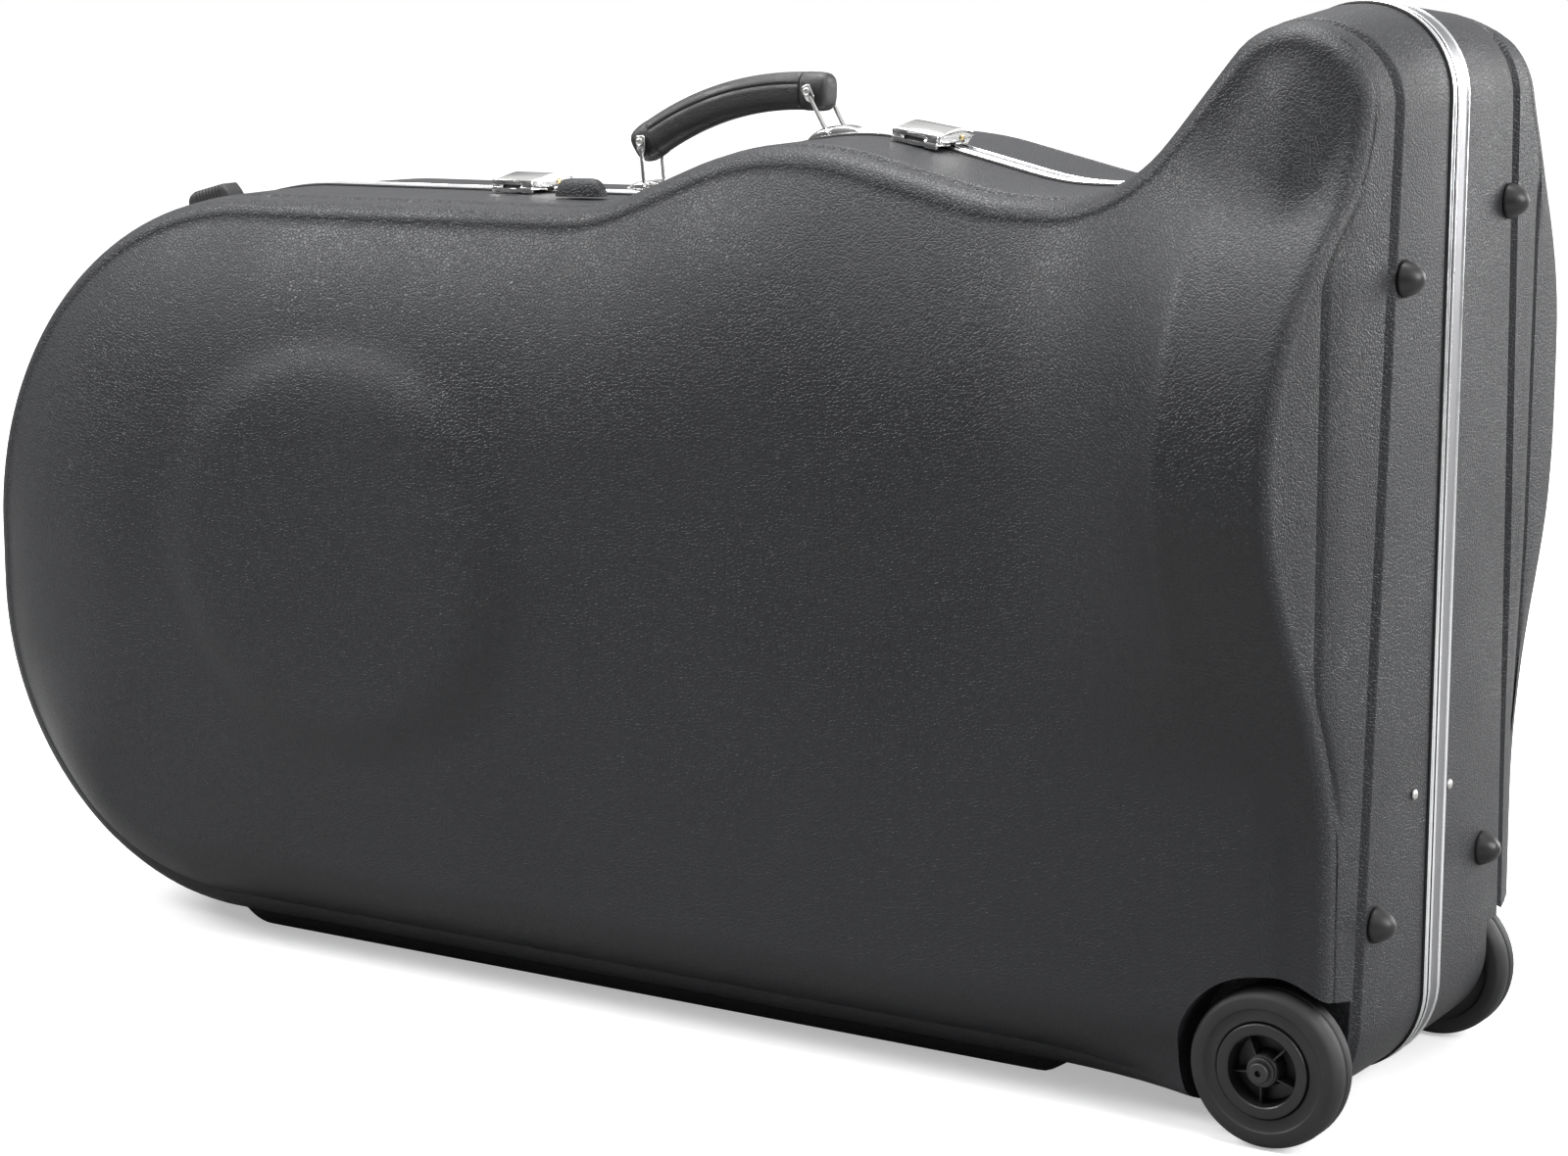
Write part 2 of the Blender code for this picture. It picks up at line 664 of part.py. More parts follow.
def edge_frames(outline, mat):
    """Two extrusions: each grips the rim of its shell, and the lid's tongue sits inside the near one."""
    inner = WALL + 0.0024
    slot = WALL + 0.0004
    near = [(0.0015, NEAR_FRAME), (0.0015, NEAR_FRAME - 0.0016), (FRAME_PROUD, 0.0004), (-inner, 0.0004),
            (-inner, FRAME_LEG), (-slot, FRAME_LEG), (-slot, 0.0022), (GAP, 0.0022), (GAP, NEAR_FRAME)]
    tongue = inner + GAP
    far = [(0.0017, FAR_FRAME), (FRAME_PROUD, FAR_FRAME - 0.0024),
           (FRAME_PROUD, 0.0034), (FRAME_BEAD, 0.0027), (FRAME_BEAD, 0.0003), (-tongue, -0.0001),
           (-tongue, -0.0030), (-tongue - 0.0012, -0.0030), (-tongue - 0.0012, FRAME_LEG),
           (-slot, FRAME_LEG), (-slot, 0.0022), (GAP, 0.0022),
           (GAP, FAR_FRAME)]
    frame_lengths("far_valance", outline, far, 1, mat)
    return frame_lengths("near_valance", outline, near, -1, mat)


def turned(name, profile, steps, mat=None, group=COLLECTION):
    """Body turned about Z from a closed or axis-to-axis profile of (radius, height)."""
    closed = profile[0][0] > 1e-6
    count = len(profile)
    mesh = bpy.data.meshes.new(name)
    edges = [(i, i + 1) for i in range(count - 1)]
    if closed:
        edges.append((count - 1, 0))
    mesh.from_pydata([(r, 0, z) for r, z in profile], edges, [])
    obj = add_object(name, mesh, mat, group)
    screw = obj.modifiers.new("turn", "SCREW")
    screw.steps = steps
    screw.render_steps = steps
    screw.use_merge_vertices = True
    screw.merge_threshold = 0.00001
    screw.use_smooth_shade = True
    return obj


def place(obj, location, axis="Z", side=1):
    """Moves an object and turns its Z axis onto the named axis."""
    obj.location = location
    if axis == "Y":
        obj.rotation_euler = (-side * math.pi / 2, 0, 0)
    if axis == "X":
        obj.rotation_euler = (0, math.pi / 2, 0)
    return obj


def wheel(prefix, side, rubber, hub_mat, steel):
    """Rubber tyre on a spoked hub, on a bolt through the wall of the wheel arch. Returns the pieces."""
    half = WHEEL_WIDTH / 2
    middle = WHEEL_OUTER - half
    centre = (WHEEL_X, side * middle, WHEEL_RADIUS)
    inner = HUB_RADIUS + GAP
    upper = [(inner, half - 0.003), (0.040, half - 0.001), (0.0465, half - 0.0015),
             (WHEEL_RADIUS, half - 0.007), (WHEEL_RADIUS, 0.0025)]
    tyre = upper + [(WHEEL_RADIUS - 0.0012, 0)] + [(r, -h) for r, h in reversed(upper)]
    pieces = [place(turned(prefix + "_tyre", tyre, 24, rubber), centre, "Y", side)]

    bore = AXLE_RADIUS + GAP
    hub = [(bore, half - 0.001), (0.0095, half - 0.001), (0.0110, 0.0), (0.0215, 0.0), (0.0230, half),
           (HUB_RADIUS - 0.002, half), (HUB_RADIUS, half - 0.002), (HUB_RADIUS, -half + 0.002),
           (0.0235, -half + 0.002), (0.0215, -0.004), (0.0110, -0.004), (0.0095, -half + 0.001),
           (bore, -half + 0.001)]
    body = place(turned(prefix + "_hub", hub, 18, hub_mat), centre, "Y", side)
    for k in range(5):
        angle = math.radians(48 + 72 * k)
        spoke = block(prefix + "_spoke", (0.0090, 0.0, -0.0009), (0.0230, 0.0120, 0.0009), group=CUTTERS)
        spoke.location = centre
        spoke.scale = (1, side, 1)
        spoke.rotation_euler = (0, -angle, 0)
        boolean(body, spoke, "UNION")
    pieces.append(body)

    start = WELL_WALL - WALL - GAP
    seat_y = WELL_WALL + GAP
    spacer = middle - half + 0.001 - GAP - seat_y
    plate = [(bore, spacer), (0.0090, spacer), (0.0095, 0.0030), (0.018, 0.0030), (0.018, 0.0), (bore, 0.0)]
    washer = [(bore, 0.0015), (0.0090, 0.0015), (0.0090, 0.0), (bore, 0.0)]
    outside = WHEEL_OUTER - 0.001 + RUN
    top = outside + 0.0015 + GAP - start
    bolt = [(0, top + 0.0030), (0.0065, top + 0.0030), (0.0065, top), (AXLE_RADIUS, top),
            (AXLE_RADIUS, -0.0003), (0.0075, -0.0003), (0.0075, -0.0045), (0, -0.0045)]
    for name, profile, steps, depth in (("axle_plate", plate, 16, seat_y), ("washer", washer, 14, outside),
                                        ("axle_bolt", bolt, 12, start)):
        piece = turned("%s_%s" % (prefix, name), profile, steps, steel)
        pieces.append(place(piece, (WHEEL_X, side * depth, WHEEL_RADIUS), "Y", side))
    return pieces


def drill(obj, name, radius, centre, axis="Y", depth=0.03):
    boolean(obj, cylinder(name, radius, depth, centre, axis, 12, group=CUTTERS))


def end_feet(label, half, spots, mat):
    """Domed feet on the bell end, so that the case can be stood upright."""
    feet = []
    for where, (depth, z) in zip(("upper", "lower"), spots):
        profile = [(0, FOOT_HEIGHT)]
        for k in range(1, 4):
            angle = math.radians(30 * k)
            profile.append((0.0075 * math.sin(angle), FOOT_HEIGHT - 0.0075 * (1 - math.cos(angle))))
        profile += [(FOOT_RADIUS - 0.001, 0.0015), (FOOT_RADIUS, 0.0), (0, 0.0)]
        foot = turned(label + "_foot_" + where, profile, 12, mat)
        feet.append(place(foot, (END_X - FOOT_SUNK, half.side * depth, z), "X"))
    return feet


def bevel(obj, width, segments=2, angle=30):
    mod = obj.modifiers.new("round", "BEVEL")
    mod.width = width
    mod.segments = segments
    mod.limit_method = "ANGLE"
    mod.angle_limit = math.radians(angle)
    return mod


def prism(name, outline_points, low, high, mat=None, axis="X", group=COLLECTION):
    """Straight body with the given outline, from low to high along an axis."""
    rings = []
    for level in (low, high):
        if axis == "X":
            rings.append([(level, a, b) for a, b in outline_points])
        elif axis == "Y":
            rings.append([(a, level, b) for a, b in outline_points])
        else:
            rings.append([(a, b, level) for a, b in outline_points])
    return ring_loft(name, rings, mat, group=group)


def block(name, low, high, mat=None, group=COLLECTION):
    points = [(low[1], low[2]), (high[1], low[2]), (high[1], high[2]), (low[1], high[2])]
    return prism(name, points, low[0], high[0], mat, "X", group)


def seat(outline, back, reach):
    """Where a plate of a given half length rests on the outline's top: its centre and its slope."""
    x = END_X - back
    upper = outline.points[outline.rows:outline.rows + outline.columns + 1][::-1]
    stops = x + np.linspace(-reach, reach, 9)
    heights = np.interp(stops, upper[:, 0], upper[:, 1])
    rise = (heights[-1] - heights[0]) / (2 * reach)
    return x, float(np.max(heights - rise * (stops - x))), math.atan(rise)


def tilt(obj, x, z, slope):
    """Places an object modelled about the origin onto the outline's top."""
    obj.location = (x, 0, z)
    obj.rotation_euler = (0, -slope, 0)
    return obj


def latch(prefix, back, outline, chrome, brass):
    """Draw latch: a catch on the lid, and a lever on a base plate on the body. Returns the catch."""
    x, z, slope = seat(outline, back, LATCH_WIDTH / 2)
    half = LATCH_WIDTH / 2
    floor = 0.0017 + GAP
    front, plate = -LATCH_REACH, 0.0033
    face = LATCH_HEIGHT - 0.0040

    def piece(name, low, high, group=CUTTERS, mat=None):
        return tilt(block(prefix + name, low, high, mat, group), x, z, slope)

    catch = piece("_catch", (-half, front, GAP), (half, front + plate, face), COLLECTION, chrome)
    boolean(catch, piece("_foot", (-half, front + 0.001, floor), (half, -0.0085, floor + 0.0014)), "UNION")
    boolean(catch, piece("_slot", (-0.0075, front - 0.01, floor + 0.0016), (0.0075, front + 0.02, floor + 0.0040)))
    dish = tilt(cylinder(prefix + "_dish", 0.0105, 0.004, (0, 0, 0), "Y", 14, group=CUTTERS), x, z, slope)
    dish.rotation_euler = (math.pi / 2, -slope, 0)
    dish.scale = (1, 0.20, 1)
    dish.location = Vector(dish.location) + Vector((0, front - 0.0012, 0)) + Vector(
        (-math.sin(slope), 0, math.cos(slope))) * (floor + 0.0040)
    boolean(catch, dish)
    bevel(catch, 0.0005, 1, 50)

    pin_y, pin_z = 0.0190, 0.0070
    base = piece("_base", (-half + 0.003, 0.0040, floor), (half - 0.003, 0.0175, floor + 0.0012), COLLECTION, chrome)
    for sign in (-1, 1):
        inside, outside = sorted((sign * (half - 0.0036), sign * (half - 0.0018)))
        side = [(pin_y - 0.0060, floor + 0.0003), (pin_y - 0.0005, floor + 0.0003), (pin_y + 0.0017, pin_z - 0.0012),
                (pin_y + 0.0021, pin_z), (pin_y + 0.0015, pin_z + 0.0015), (pin_y, pin_z + 0.0021),
                (pin_y - 0.0015, pin_z + 0.0015), (pin_y - 0.0060, pin_z - 0.0010)]
        ear = tilt(prism(prefix + "_ear", side, inside, outside, group=CUTTERS), x, z, slope)
        boolean(base, ear, "UNION")

    start = front + plate + GAP
    cover = [(start, 0.0042), (start, face), (-0.012, face + 0.0024), (-0.001, LATCH_HEIGHT), (0.004, LATCH_HEIGHT),
             (0.0195, LATCH_HEIGHT - 0.0022), (0.0228, LATCH_HEIGHT - 0.0036), (0.0228, 0.0068), (0.0095, 0.0052),
             (-0.001, 0.0040)]
    lever = tilt(prism(prefix + "_lever", cover, -half, half, chrome), x, z, slope)
    room = [(start - 0.002, 0.0), (start - 0.002, face - 0.0012), (-0.012, face + 0.0012),
            (-0.001, LATCH_HEIGHT - 0.0012), (0.004, LATCH_HEIGHT - 0.0012), (0.0190, LATCH_HEIGHT - 0.0034),
            (0.0216, LATCH_HEIGHT - 0.0044), (0.0216, 0.0)]
    boolean(lever, tilt(prism(prefix + "_room", room, -half + 0.0013, half - 0.0013, group=CUTTERS), x, z, slope))
    for target, (y, level), radius in ((base, (pin_y, pin_z), HINGE_PIN + GAP), (lever, (pin_y, pin_z), HINGE_PIN + GAP),
                                       (lever, (LATCH_RIVET_Y, LATCH_RIVET_Z), HINGE_PIN + GAP)):
        bore = tilt(cylinder(prefix + "_bore", radius, 0.06, (0, 0, 0), "X", 12, group=CUTTERS), x, z, slope)
        shift_local(bore, (0, y, level))
        boolean(target, bore)
    pin = tilt(cylinder(prefix + "_pin", HINGE_PIN, LATCH_WIDTH - 0.0004, (0, 0, 0), "X", 12, chrome), x, z, slope)
    shift_local(pin, (0, pin_y, pin_z))
    end = half + GAP
    rings = []
    for level, radius in ((-end - 0.0009, 0.0008), (-end - 0.0005, 0.0019), (-end, 0.0023), (-end, HINGE_PIN),
                          (end, HINGE_PIN), (end, 0.0023), (end + 0.0005, 0.0019), (end + 0.0009, 0.0008)):
        turns = [math.pi * k / 5 for k in range(10)]
        rings.append([(radius * math.cos(a), radius * math.sin(a), level) for a in turns])
    rivet = tilt(ring_loft(prefix + "_rivet", rings, brass), x, z, slope)
    shift_local(rivet, (0, LATCH_RIVET_Y, LATCH_RIVET_Z))
    for moving in (lever, rivet):
        move_origin(moving, pin.location)
    return catch


def shift_local(obj, offset):
    """Moves a cylinder made along X from the outline's seat by an offset in the seat's frame."""
    slope = -obj.rotation_euler[1]
    base = Vector(obj.location)
    turn = Matrix.Rotation(-slope, 3, "Y")
    obj.location = base + turn @ Vector(offset)
    obj.rotation_euler = (0, math.pi / 2 - slope, 0)


def arc_section(width, height, groove):
    """Cross-section of the grip: a rounded pad with a side groove under its top ridge."""
    half, tall = width / 2, height / 2
    right = [(0.30, 1.0), (0.74, 0.84), (0.98, 0.50), (1.0 - groove, 0.38), (1.0, 0.26), (1.0, -0.45),
             (0.80, -0.88), (0.40, -1.0)]
    points = [(a * half, b * tall) for a, b in right]
    return points + [(-a, b) for a, b in reversed(points)]


def grip(left, right, mat):
    """Padded grip arched between its two pins."""
    start, end = Vector(left), Vector(right)
    span = (end - start).length
    along = (end - start).normalized()
    up = Vector((-along.y, along.x))
    rings = []
    stops = [(-GRIP_LEFT_END, 0.62), (-GRIP_LEFT_END + 0.003, 0.86), (0.008, 0.94), (0.0085, 1.0)]
    stops += [(0.0085 + (span - 0.017) * k / 7, 1.0) for k in range(1, 8)]
    stops += [(span - 0.0080, 0.95), (span + GRIP_RIGHT_END - 0.004, 0.95), (span + GRIP_RIGHT_END, 0.78)]
    for s, size in stops:
        t = min(max(s / span, 0.0), 1.0)
        rise = GRIP_ARCH * 4 * t * (1 - t)
        slope = GRIP_ARCH * 4 * (1 - 2 * t) / span
        middle = start + along * s + up * rise
        if s > span:
            middle = end + (along + up * slope).normalized() * (s - span)
        if s < 0:
            middle = start + (along + up * slope).normalized() * s
        lift = (up - along * slope).normalized()
        ridge = 0.06 if size == 1.0 else 0.0
        rings.append([(middle.x + lift.x * b, HANDLE_Y + a * min(1.0, size + 0.05), middle.y + lift.y * b)
                      for a, b in arc_section(GRIP_WIDTH, GRIP_HEIGHT * size, ridge)])
    return ring_loft("grip", rings, mat)


def bail(name, foot, head, mat):
    """Wire bail: a U of wire whose bar turns in the base plate, with a flat eye at each end."""
    foot, head = Vector(foot), Vector(head)
    half = BAIL_SPREAD / 2
    along = (head - foot).normalized()
    stop = foot + along * ((head - foot).length - 0.0035)
    curve = bpy.data.curves.new(name + "_wire", "CURVE")
    curve.dimensions = "3D"
    curve.bevel_depth = BAIL_WIRE / 2
    curve.bevel_resolution = 1
    curve.use_fill_caps = True
    turn = 0.0030
    near_foot = foot + along * turn
    path = [(stop, -half), (near_foot, -half), (foot + along * turn * 0.3, -half + turn * 0.3),
            (foot, -half + turn), (foot, half - turn), (foot + along * turn * 0.3, half - turn * 0.3),
            (near_foot, half), (stop, half)]
    spline = curve.splines.new("POLY")
    spline.points.add(len(path) - 1)
    for point, (place_xz, y) in zip(spline.points, path):
        point.co = (place_xz.x, HANDLE_Y + y, place_xz.y, 1)
    wire = bpy.data.objects.new(name + "_wire", curve)
    bpy.data.collections[COLLECTION].objects.link(wire)
    bpy.context.view_layer.update()
    mesh = bpy.data.meshes.new_from_object(wire.evaluated_get(bpy.context.evaluated_depsgraph_get()))
    bm = bmesh.new()
    bm.from_mesh(mesh)
    bmesh.ops.remove_doubles(bm, verts=bm.verts, dist=0.00001)
    bm.to_mesh(mesh)
    bm.free()
    bpy.data.objects.remove(wire, do_unlink=True)
    outward(mesh)
    mesh.name = name
    obj = add_object(name, mesh, mat)
    for sign in (-1, 1):
        eye = cylinder(name + "_eye", 0.0044, 0.0018, (head.x, HANDLE_Y + sign * half, head.y), "Y", 14,
                       group=CUTTERS)
        boolean(obj, eye, "UNION")
    drill(obj, name + "_bore", PIN_RADIUS + RUN, (head.x, HANDLE_Y, head.y), "Y", 0.06)
    return obj


def base_plate(name, foot, slope, mat):
    """Arched plate that holds the bar of a bail."""
    wide, rise = BAIL_SPREAD / 2 - 0.0030, 0.0048
    rings = []
    for k in range(9):
        t = -1 + 2 * k / 8
        height = rise * (1 - t * t) ** 0.8 + 0.0012
        across = wide * (1 - 0.35 * t * t)
        rings.append([(t * BASE_REACH, -across, 0), (t * BASE_REACH, -across, height * 0.7),
                      (t * BASE_REACH, -across * 0.75, height), (t * BASE_REACH, across * 0.75, height),
                      (t * BASE_REACH, across, height * 0.7), (t * BASE_REACH, across, 0)])
    obj = ring_loft(name, rings, mat)
    obj.rotation_euler = (0, -slope, 0)
    obj.location = (foot[0] + math.sin(slope) * BAIL_SEAT, HANDLE_Y, foot[1] - math.cos(slope) * BAIL_SEAT)
    drill(obj, name + "_bore", BAIL_WIRE / 2 + RUN, (foot[0], HANDLE_Y, foot[1]), "Y", 0.05)
    return obj


def handle(outline, chrome, leather, steel):
    """Carrying grip on two wire bails."""
    pivots = []
    for name, back, lean in (("left", HANDLE_LEFT, LEFT_LEAN), ("right", HANDLE_RIGHT, RIGHT_LEAN)):
        x, z, slope = seat(outline, back, BASE_REACH)
        lift = FRAME_PROUD + 0.0007 + GAP + BAIL_SEAT
        foot = (x - math.sin(slope) * lift, z + math.cos(slope) * lift)
        angle = math.radians(lean)
        head = (foot[0] - math.sin(angle) * BAIL_LENGTH, foot[1] + math.cos(angle) * BAIL_LENGTH)
        base_plate("handle_base_" + name, foot, slope, chrome)
        wire = bail("bail_" + name, foot, head, chrome)
        move_origin(wire, (foot[0], HANDLE_Y, foot[1]))
        pivots.append((foot, head))
    pad = grip(pivots[0][1], pivots[1][1], leather)
    move_origin(pad, (pivots[0][1][0], HANDLE_Y, pivots[0][1][1]))
    for name, (foot, head) in zip(("left", "right"), pivots):
        drill(pad, "grip_bore_" + name, PIN_RADIUS + GAP, (head[0], HANDLE_Y, head[1]), "Y", 0.06)
        length = BAIL_SPREAD / 2 + 0.0009 + GAP
        flange = 0.0012
        profile = [(0, length + flange), (0.0028, length + flange), (0.0030, length), (PIN_RADIUS, length),
                   (PIN_RADIUS, -length), (0.0030, -length), (0.0028, -length - flange), (0, -length - flange)]
        place(turned("grip_pin_" + name, profile, 12, steel), (head[0], HANDLE_Y, head[1]), "Y", 1)


def latch_guard(outline, mat):
    """Moulded bumper beside the first latch."""
    x, z, slope = seat(outline, GUARD_AT, 0.020)
    rings = []
    for level, wide, thick in ((0.0, 0.020, 0.008), (0.0084, 0.0165, 0.0068), (0.0109, 0.0145, 0.0056),
                               (0.0122, 0.0120, 0.0040)):
        turns = [math.radians(15 + 30 * k) for k in range(12)]
        rings.append([(wide * squared(math.cos(a)), thick * squared(math.sin(a)), level) for a in turns])
    guard = ring_loft("latch_guard", rings, mat)
    tilt(guard, x, z + GAP, slope)
    guard.location[1] = -0.045
    return guard


def squared(value):
    """Rounds a circle's coordinate out towards a square."""
    return math.copysign(abs(value) ** 0.6, value)


def rear_bumper(outline, mat):
    """Ribbed bumper on the near half's edge band, at the top of the tail."""
    half = BUMPER_LENGTH / 2
    x, z, slope = seat(outline, BUMPER_AT, half)
    nose = ((0.0, 0.0035, 0.35), (0.0015, 0.0080, 0.72), (0.0050, 0.0118, 0.94), (0.0100, 0.0135, 1.0))
    stops = [(-half + step, height, wide) for step, height, wide in nose]
    pitch = (BUMPER_LENGTH - 0.0165) / 7
    for k in range(7):
        start = -half + 0.0125 + k * pitch
        for step, height in ((0, 0.0135), (0.0003, 0.0118), (0.0011, 0.0118), (0.0014, 0.0135)):
            stops.append((start + step, height - 0.0003 * k, 1.0))
    stops += [(half - 0.0030, 0.0112, 1.0), (half, 0.0030, 0.95)]
    rings = []
    for s, height, wide in stops:
        side = BUMPER_WIDTH / 2 * wide
        rings.append([(s, -side, 0.0), (s, -side, height * 0.75), (s, -side * 0.78, height),
                      (s, side * 0.78, height), (s, side, height * 0.75), (s, side, 0.0)])
    obj = ring_loft("rear_bumper", rings, mat)
    tilt(obj, x, z - GAP, slope)
    obj.location[1] = -0.044
    return obj


def hinge(label, back, steel):
    """Three-knuckle hinge in the channel between the ledges. Returns the near half's pieces."""
    x = END_X - back
    half = HINGE_WIDTH / 2
    third = HINGE_WIDTH / 6
    leaf_top = FLOOR_CLEAR - 0.0017 - GAP
    web_top = FLOOR_CLEAR - FRAME_BEAD - GAP
    leaf_low = leaf_top - 0.0020
    web_low = leaf_low - 0.0010
    reach, inner = 0.0110, 0.0038
    spans = {"near": ((-half, -third - RUN / 2), (third + RUN / 2, half)),
             "far": ((-third + RUN / 2, third - RUN / 2),)}
    leaves = {}
    for name, side in (("near", -1), ("far", 1)):
        low, high = sorted((side * inner, side * reach))
        leaf = block("hinge_%s_%s" % (label, name), (x - half, low, leaf_low), (x + half, high, leaf_top), steel)
        leaves[name] = leaf
        for start, stop in spans[name]:
            low, high = sorted((side * 0.0004, side * (inner + 0.0006)))
            web = block("hinge_web", (x + start, low, web_low), (x + stop, high, web_top), group=CUTTERS)
            boolean(leaf, web, "UNION")
            knuckle = cylinder("hinge_knuckle", KNUCKLE_RADIUS, stop - start,
                               (x + (start + stop) / 2, 0, HINGE_Z), "X", 10, group=CUTTERS)
            boolean(leaf, knuckle, "UNION")
        drill(leaf, "hinge_bore", HINGE_PIN + GAP, (x, 0, HINGE_Z), "X", HINGE_WIDTH + 0.01)
    cylinder("hinge_%s_pin" % label, HINGE_PIN, HINGE_WIDTH, (x, 0, HINGE_Z), "X", 10, steel)
    return leaves["near"]


def move_origin(obj, point):
    """Moves an object's origin to a point without moving its mesh."""
    offset = Vector(point) - Vector(obj.location)
    turn = obj.rotation_euler.to_matrix().inverted()
    obj.data.transform(Matrix.Translation(-(turn @ offset)))
    obj.location = point


def carry(holder, pieces):
    """Hangs pieces on the empty that stands on their joint's axis."""
    for piece in pieces:
        piece.parent = holder
        piece.location = Vector(piece.location) - Vector(holder.location)


def stay_rivets(steel):
    """Rivet heads of the lid's stay, one on the bell end of each half."""
    rivets = []
    for label, depth, z in (("near", -0.030, 0.2035), ("far", 0.0275, 0.1985)):
        profile = [(0, 0.0022), (0.0016, 0.0019), (0.0030, 0.0010), (0.0034, 0.0), (0, 0.0)]
        rivet = turned(label + "_stay_rivet", profile, 12, steel)
        rivets.append(place(rivet, (END_X, depth, z), "X"))
    return rivets


def main():
    clear_scene()
    outline = Outline(20, 11)
    room = Outline(11, 6, ledge=False)
    abs_plastic = material("abs_grained", ABS_COLOUR, 0.5)
    plush = material("plush", PLUSH_COLOUR, 0.95)
    aluminium = material("aluminium", (0.75, 0.76, 0.77), 0.25, 1.0)
    chrome = material("chrome", (0.80, 0.80, 0.80), 0.12, 1.0)
    steel = material("zinc_plated", (0.55, 0.55, 0.54), 0.35, 1.0)
    brass = material("brass_rivet", (0.62, 0.48, 0.25), 0.3, 1.0)
    rubber = material("rubber", (0.02, 0.02, 0.021), 0.75)
    hub_plastic = material("hub_plastic", (0.035, 0.035, 0.037), 0.45)
    leather = material("leather", (0.02, 0.02, 0.022), 0.45)

    halves = (("near", Half(-1, NEAR_BAND, NEAR_DEPTH, NEAR_FRAME), NEAR_FEET),
              ("far", Half(1, FAR_BAND, FAR_DEPTH, FAR_FRAME), FAR_FEET))
    frames = edge_frames(outline, aluminium)
    rivets = stay_rivets(steel)
    pieces = {}
    for label, half, feet in halves:
        skin = shell(label + "_shell", outline, half, abs_plastic)
        foam = lining(label, outline, room, half, plush)
        for obj, extra in ((skin, 0), (foam[0], 0.005)):
            drill(obj, label + "_axle_bore", AXLE_RADIUS + GAP + extra,
                  (WHEEL_X, half.side * (WELL_WALL - 0.008), WHEEL_RADIUS), "Y", 0.03)
        pieces[label] = [skin] + foam + wheel(label, half.side, rubber, hub_plastic, steel)
        pieces[label] += end_feet(label, half, feet, abs_plastic)

    lid = pieces["near"] + frames + [rivets[0]]
    lid += [latch(prefix, back, outline, chrome, brass) for prefix, back in LATCHES]
    lid += [latch_guard(outline, abs_plastic), rear_bumper(outline, rubber)]
    lid += [hinge(label, back, steel) for label, back in HINGES]
    handle(outline, chrome, leather, steel)
    axis = bpy.data.objects.new("lid_axis", None)
    axis.location = (0, 0, HINGE_Z)
    bpy.data.collections[COLLECTION].objects.link(axis)
    carry(axis, lid)


main()
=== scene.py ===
# %% [markdown]
# # A hard case for a tuba
#
# The real case is two moulded plastic shells, each gripped by an aluminium edge frame, hinged along the
# bottom and held shut by two draw latches. It has a padded handle on wire bails, and it rolls on two wheels.
# The mechanical parts come from the CAD model. Here each one gets its finished surface, and the pieces whose
# CAD form is faceted are modelled again, smooth, in the same place.

# %% Load the CAD frame
import json
import math

import bmesh
import bpy
import numpy as np
from mathutils import Matrix, Vector

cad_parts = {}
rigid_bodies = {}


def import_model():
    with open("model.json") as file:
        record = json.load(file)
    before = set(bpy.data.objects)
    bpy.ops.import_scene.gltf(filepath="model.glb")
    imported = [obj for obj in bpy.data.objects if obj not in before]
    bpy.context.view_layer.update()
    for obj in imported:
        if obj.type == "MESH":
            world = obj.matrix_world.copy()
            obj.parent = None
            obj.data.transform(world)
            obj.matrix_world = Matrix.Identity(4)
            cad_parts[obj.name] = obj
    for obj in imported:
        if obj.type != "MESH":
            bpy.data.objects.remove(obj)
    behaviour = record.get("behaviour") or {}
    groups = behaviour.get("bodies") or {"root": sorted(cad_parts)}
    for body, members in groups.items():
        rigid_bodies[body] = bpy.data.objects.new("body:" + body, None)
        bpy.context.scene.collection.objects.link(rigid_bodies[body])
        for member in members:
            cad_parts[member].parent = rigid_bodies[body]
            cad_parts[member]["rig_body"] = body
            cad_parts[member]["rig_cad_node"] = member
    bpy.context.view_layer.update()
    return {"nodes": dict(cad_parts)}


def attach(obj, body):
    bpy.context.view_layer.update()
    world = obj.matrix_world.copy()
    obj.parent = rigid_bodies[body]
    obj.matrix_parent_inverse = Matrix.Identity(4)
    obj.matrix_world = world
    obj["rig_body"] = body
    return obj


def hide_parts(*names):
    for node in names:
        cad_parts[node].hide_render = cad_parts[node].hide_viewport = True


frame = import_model()
nodes = frame["nodes"]

# %% [markdown]
# ## Small helpers
#
# An operator acts on everything selected, so every helper first deselects all and then picks its own piece.
# A finished piece sits at the origin with its place in its mesh, and rides on the body that carries it.


# %% Selecting, applying and finishing
def pick(*objs):
    bpy.ops.object.select_all(action="DESELECT")
    for obj in objs:
        obj.select_set(True)
    bpy.context.view_layer.objects.active = objs[-1]


def edit(obj):
    pick(obj)
    bpy.ops.object.mode_set(mode="EDIT")


def leave_edit():
    bpy.ops.object.mode_set(mode="OBJECT")


def settle(obj):
    """Applies the modifiers and the object's place, turn and size."""
    pick(obj)
    for mod in list(obj.modifiers):
        bpy.ops.object.modifier_apply(modifier=mod.name)
    bpy.ops.object.transform_apply(location=True, rotation=True, scale=True)


def point_out(obj):
    edit(obj)
    bpy.ops.mesh.select_all(action="SELECT")
    bpy.ops.mesh.normals_make_consistent(inside=False)
    leave_edit()


def finish_piece(obj, name, mat, body, replaced=(), angle=35):
    """Names a piece, gives it its finish, smooths it by angle and hangs it on its body."""
    settle(obj)
    obj.name = name
    obj.data.materials.clear()
    obj.data.materials.append(mat)
    pick(obj)
    bpy.ops.object.shade_smooth_by_angle(angle=math.radians(angle))
    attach(obj, body)
    if replaced:
        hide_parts(*replaced)
    return obj


def copy_of(obj, offset=(0, 0, 0)):
    other = obj.copy()
    other.data = obj.data.copy()
    bpy.context.scene.collection.objects.link(other)
    other.location = Vector(obj.location) + Vector(offset)
    return other


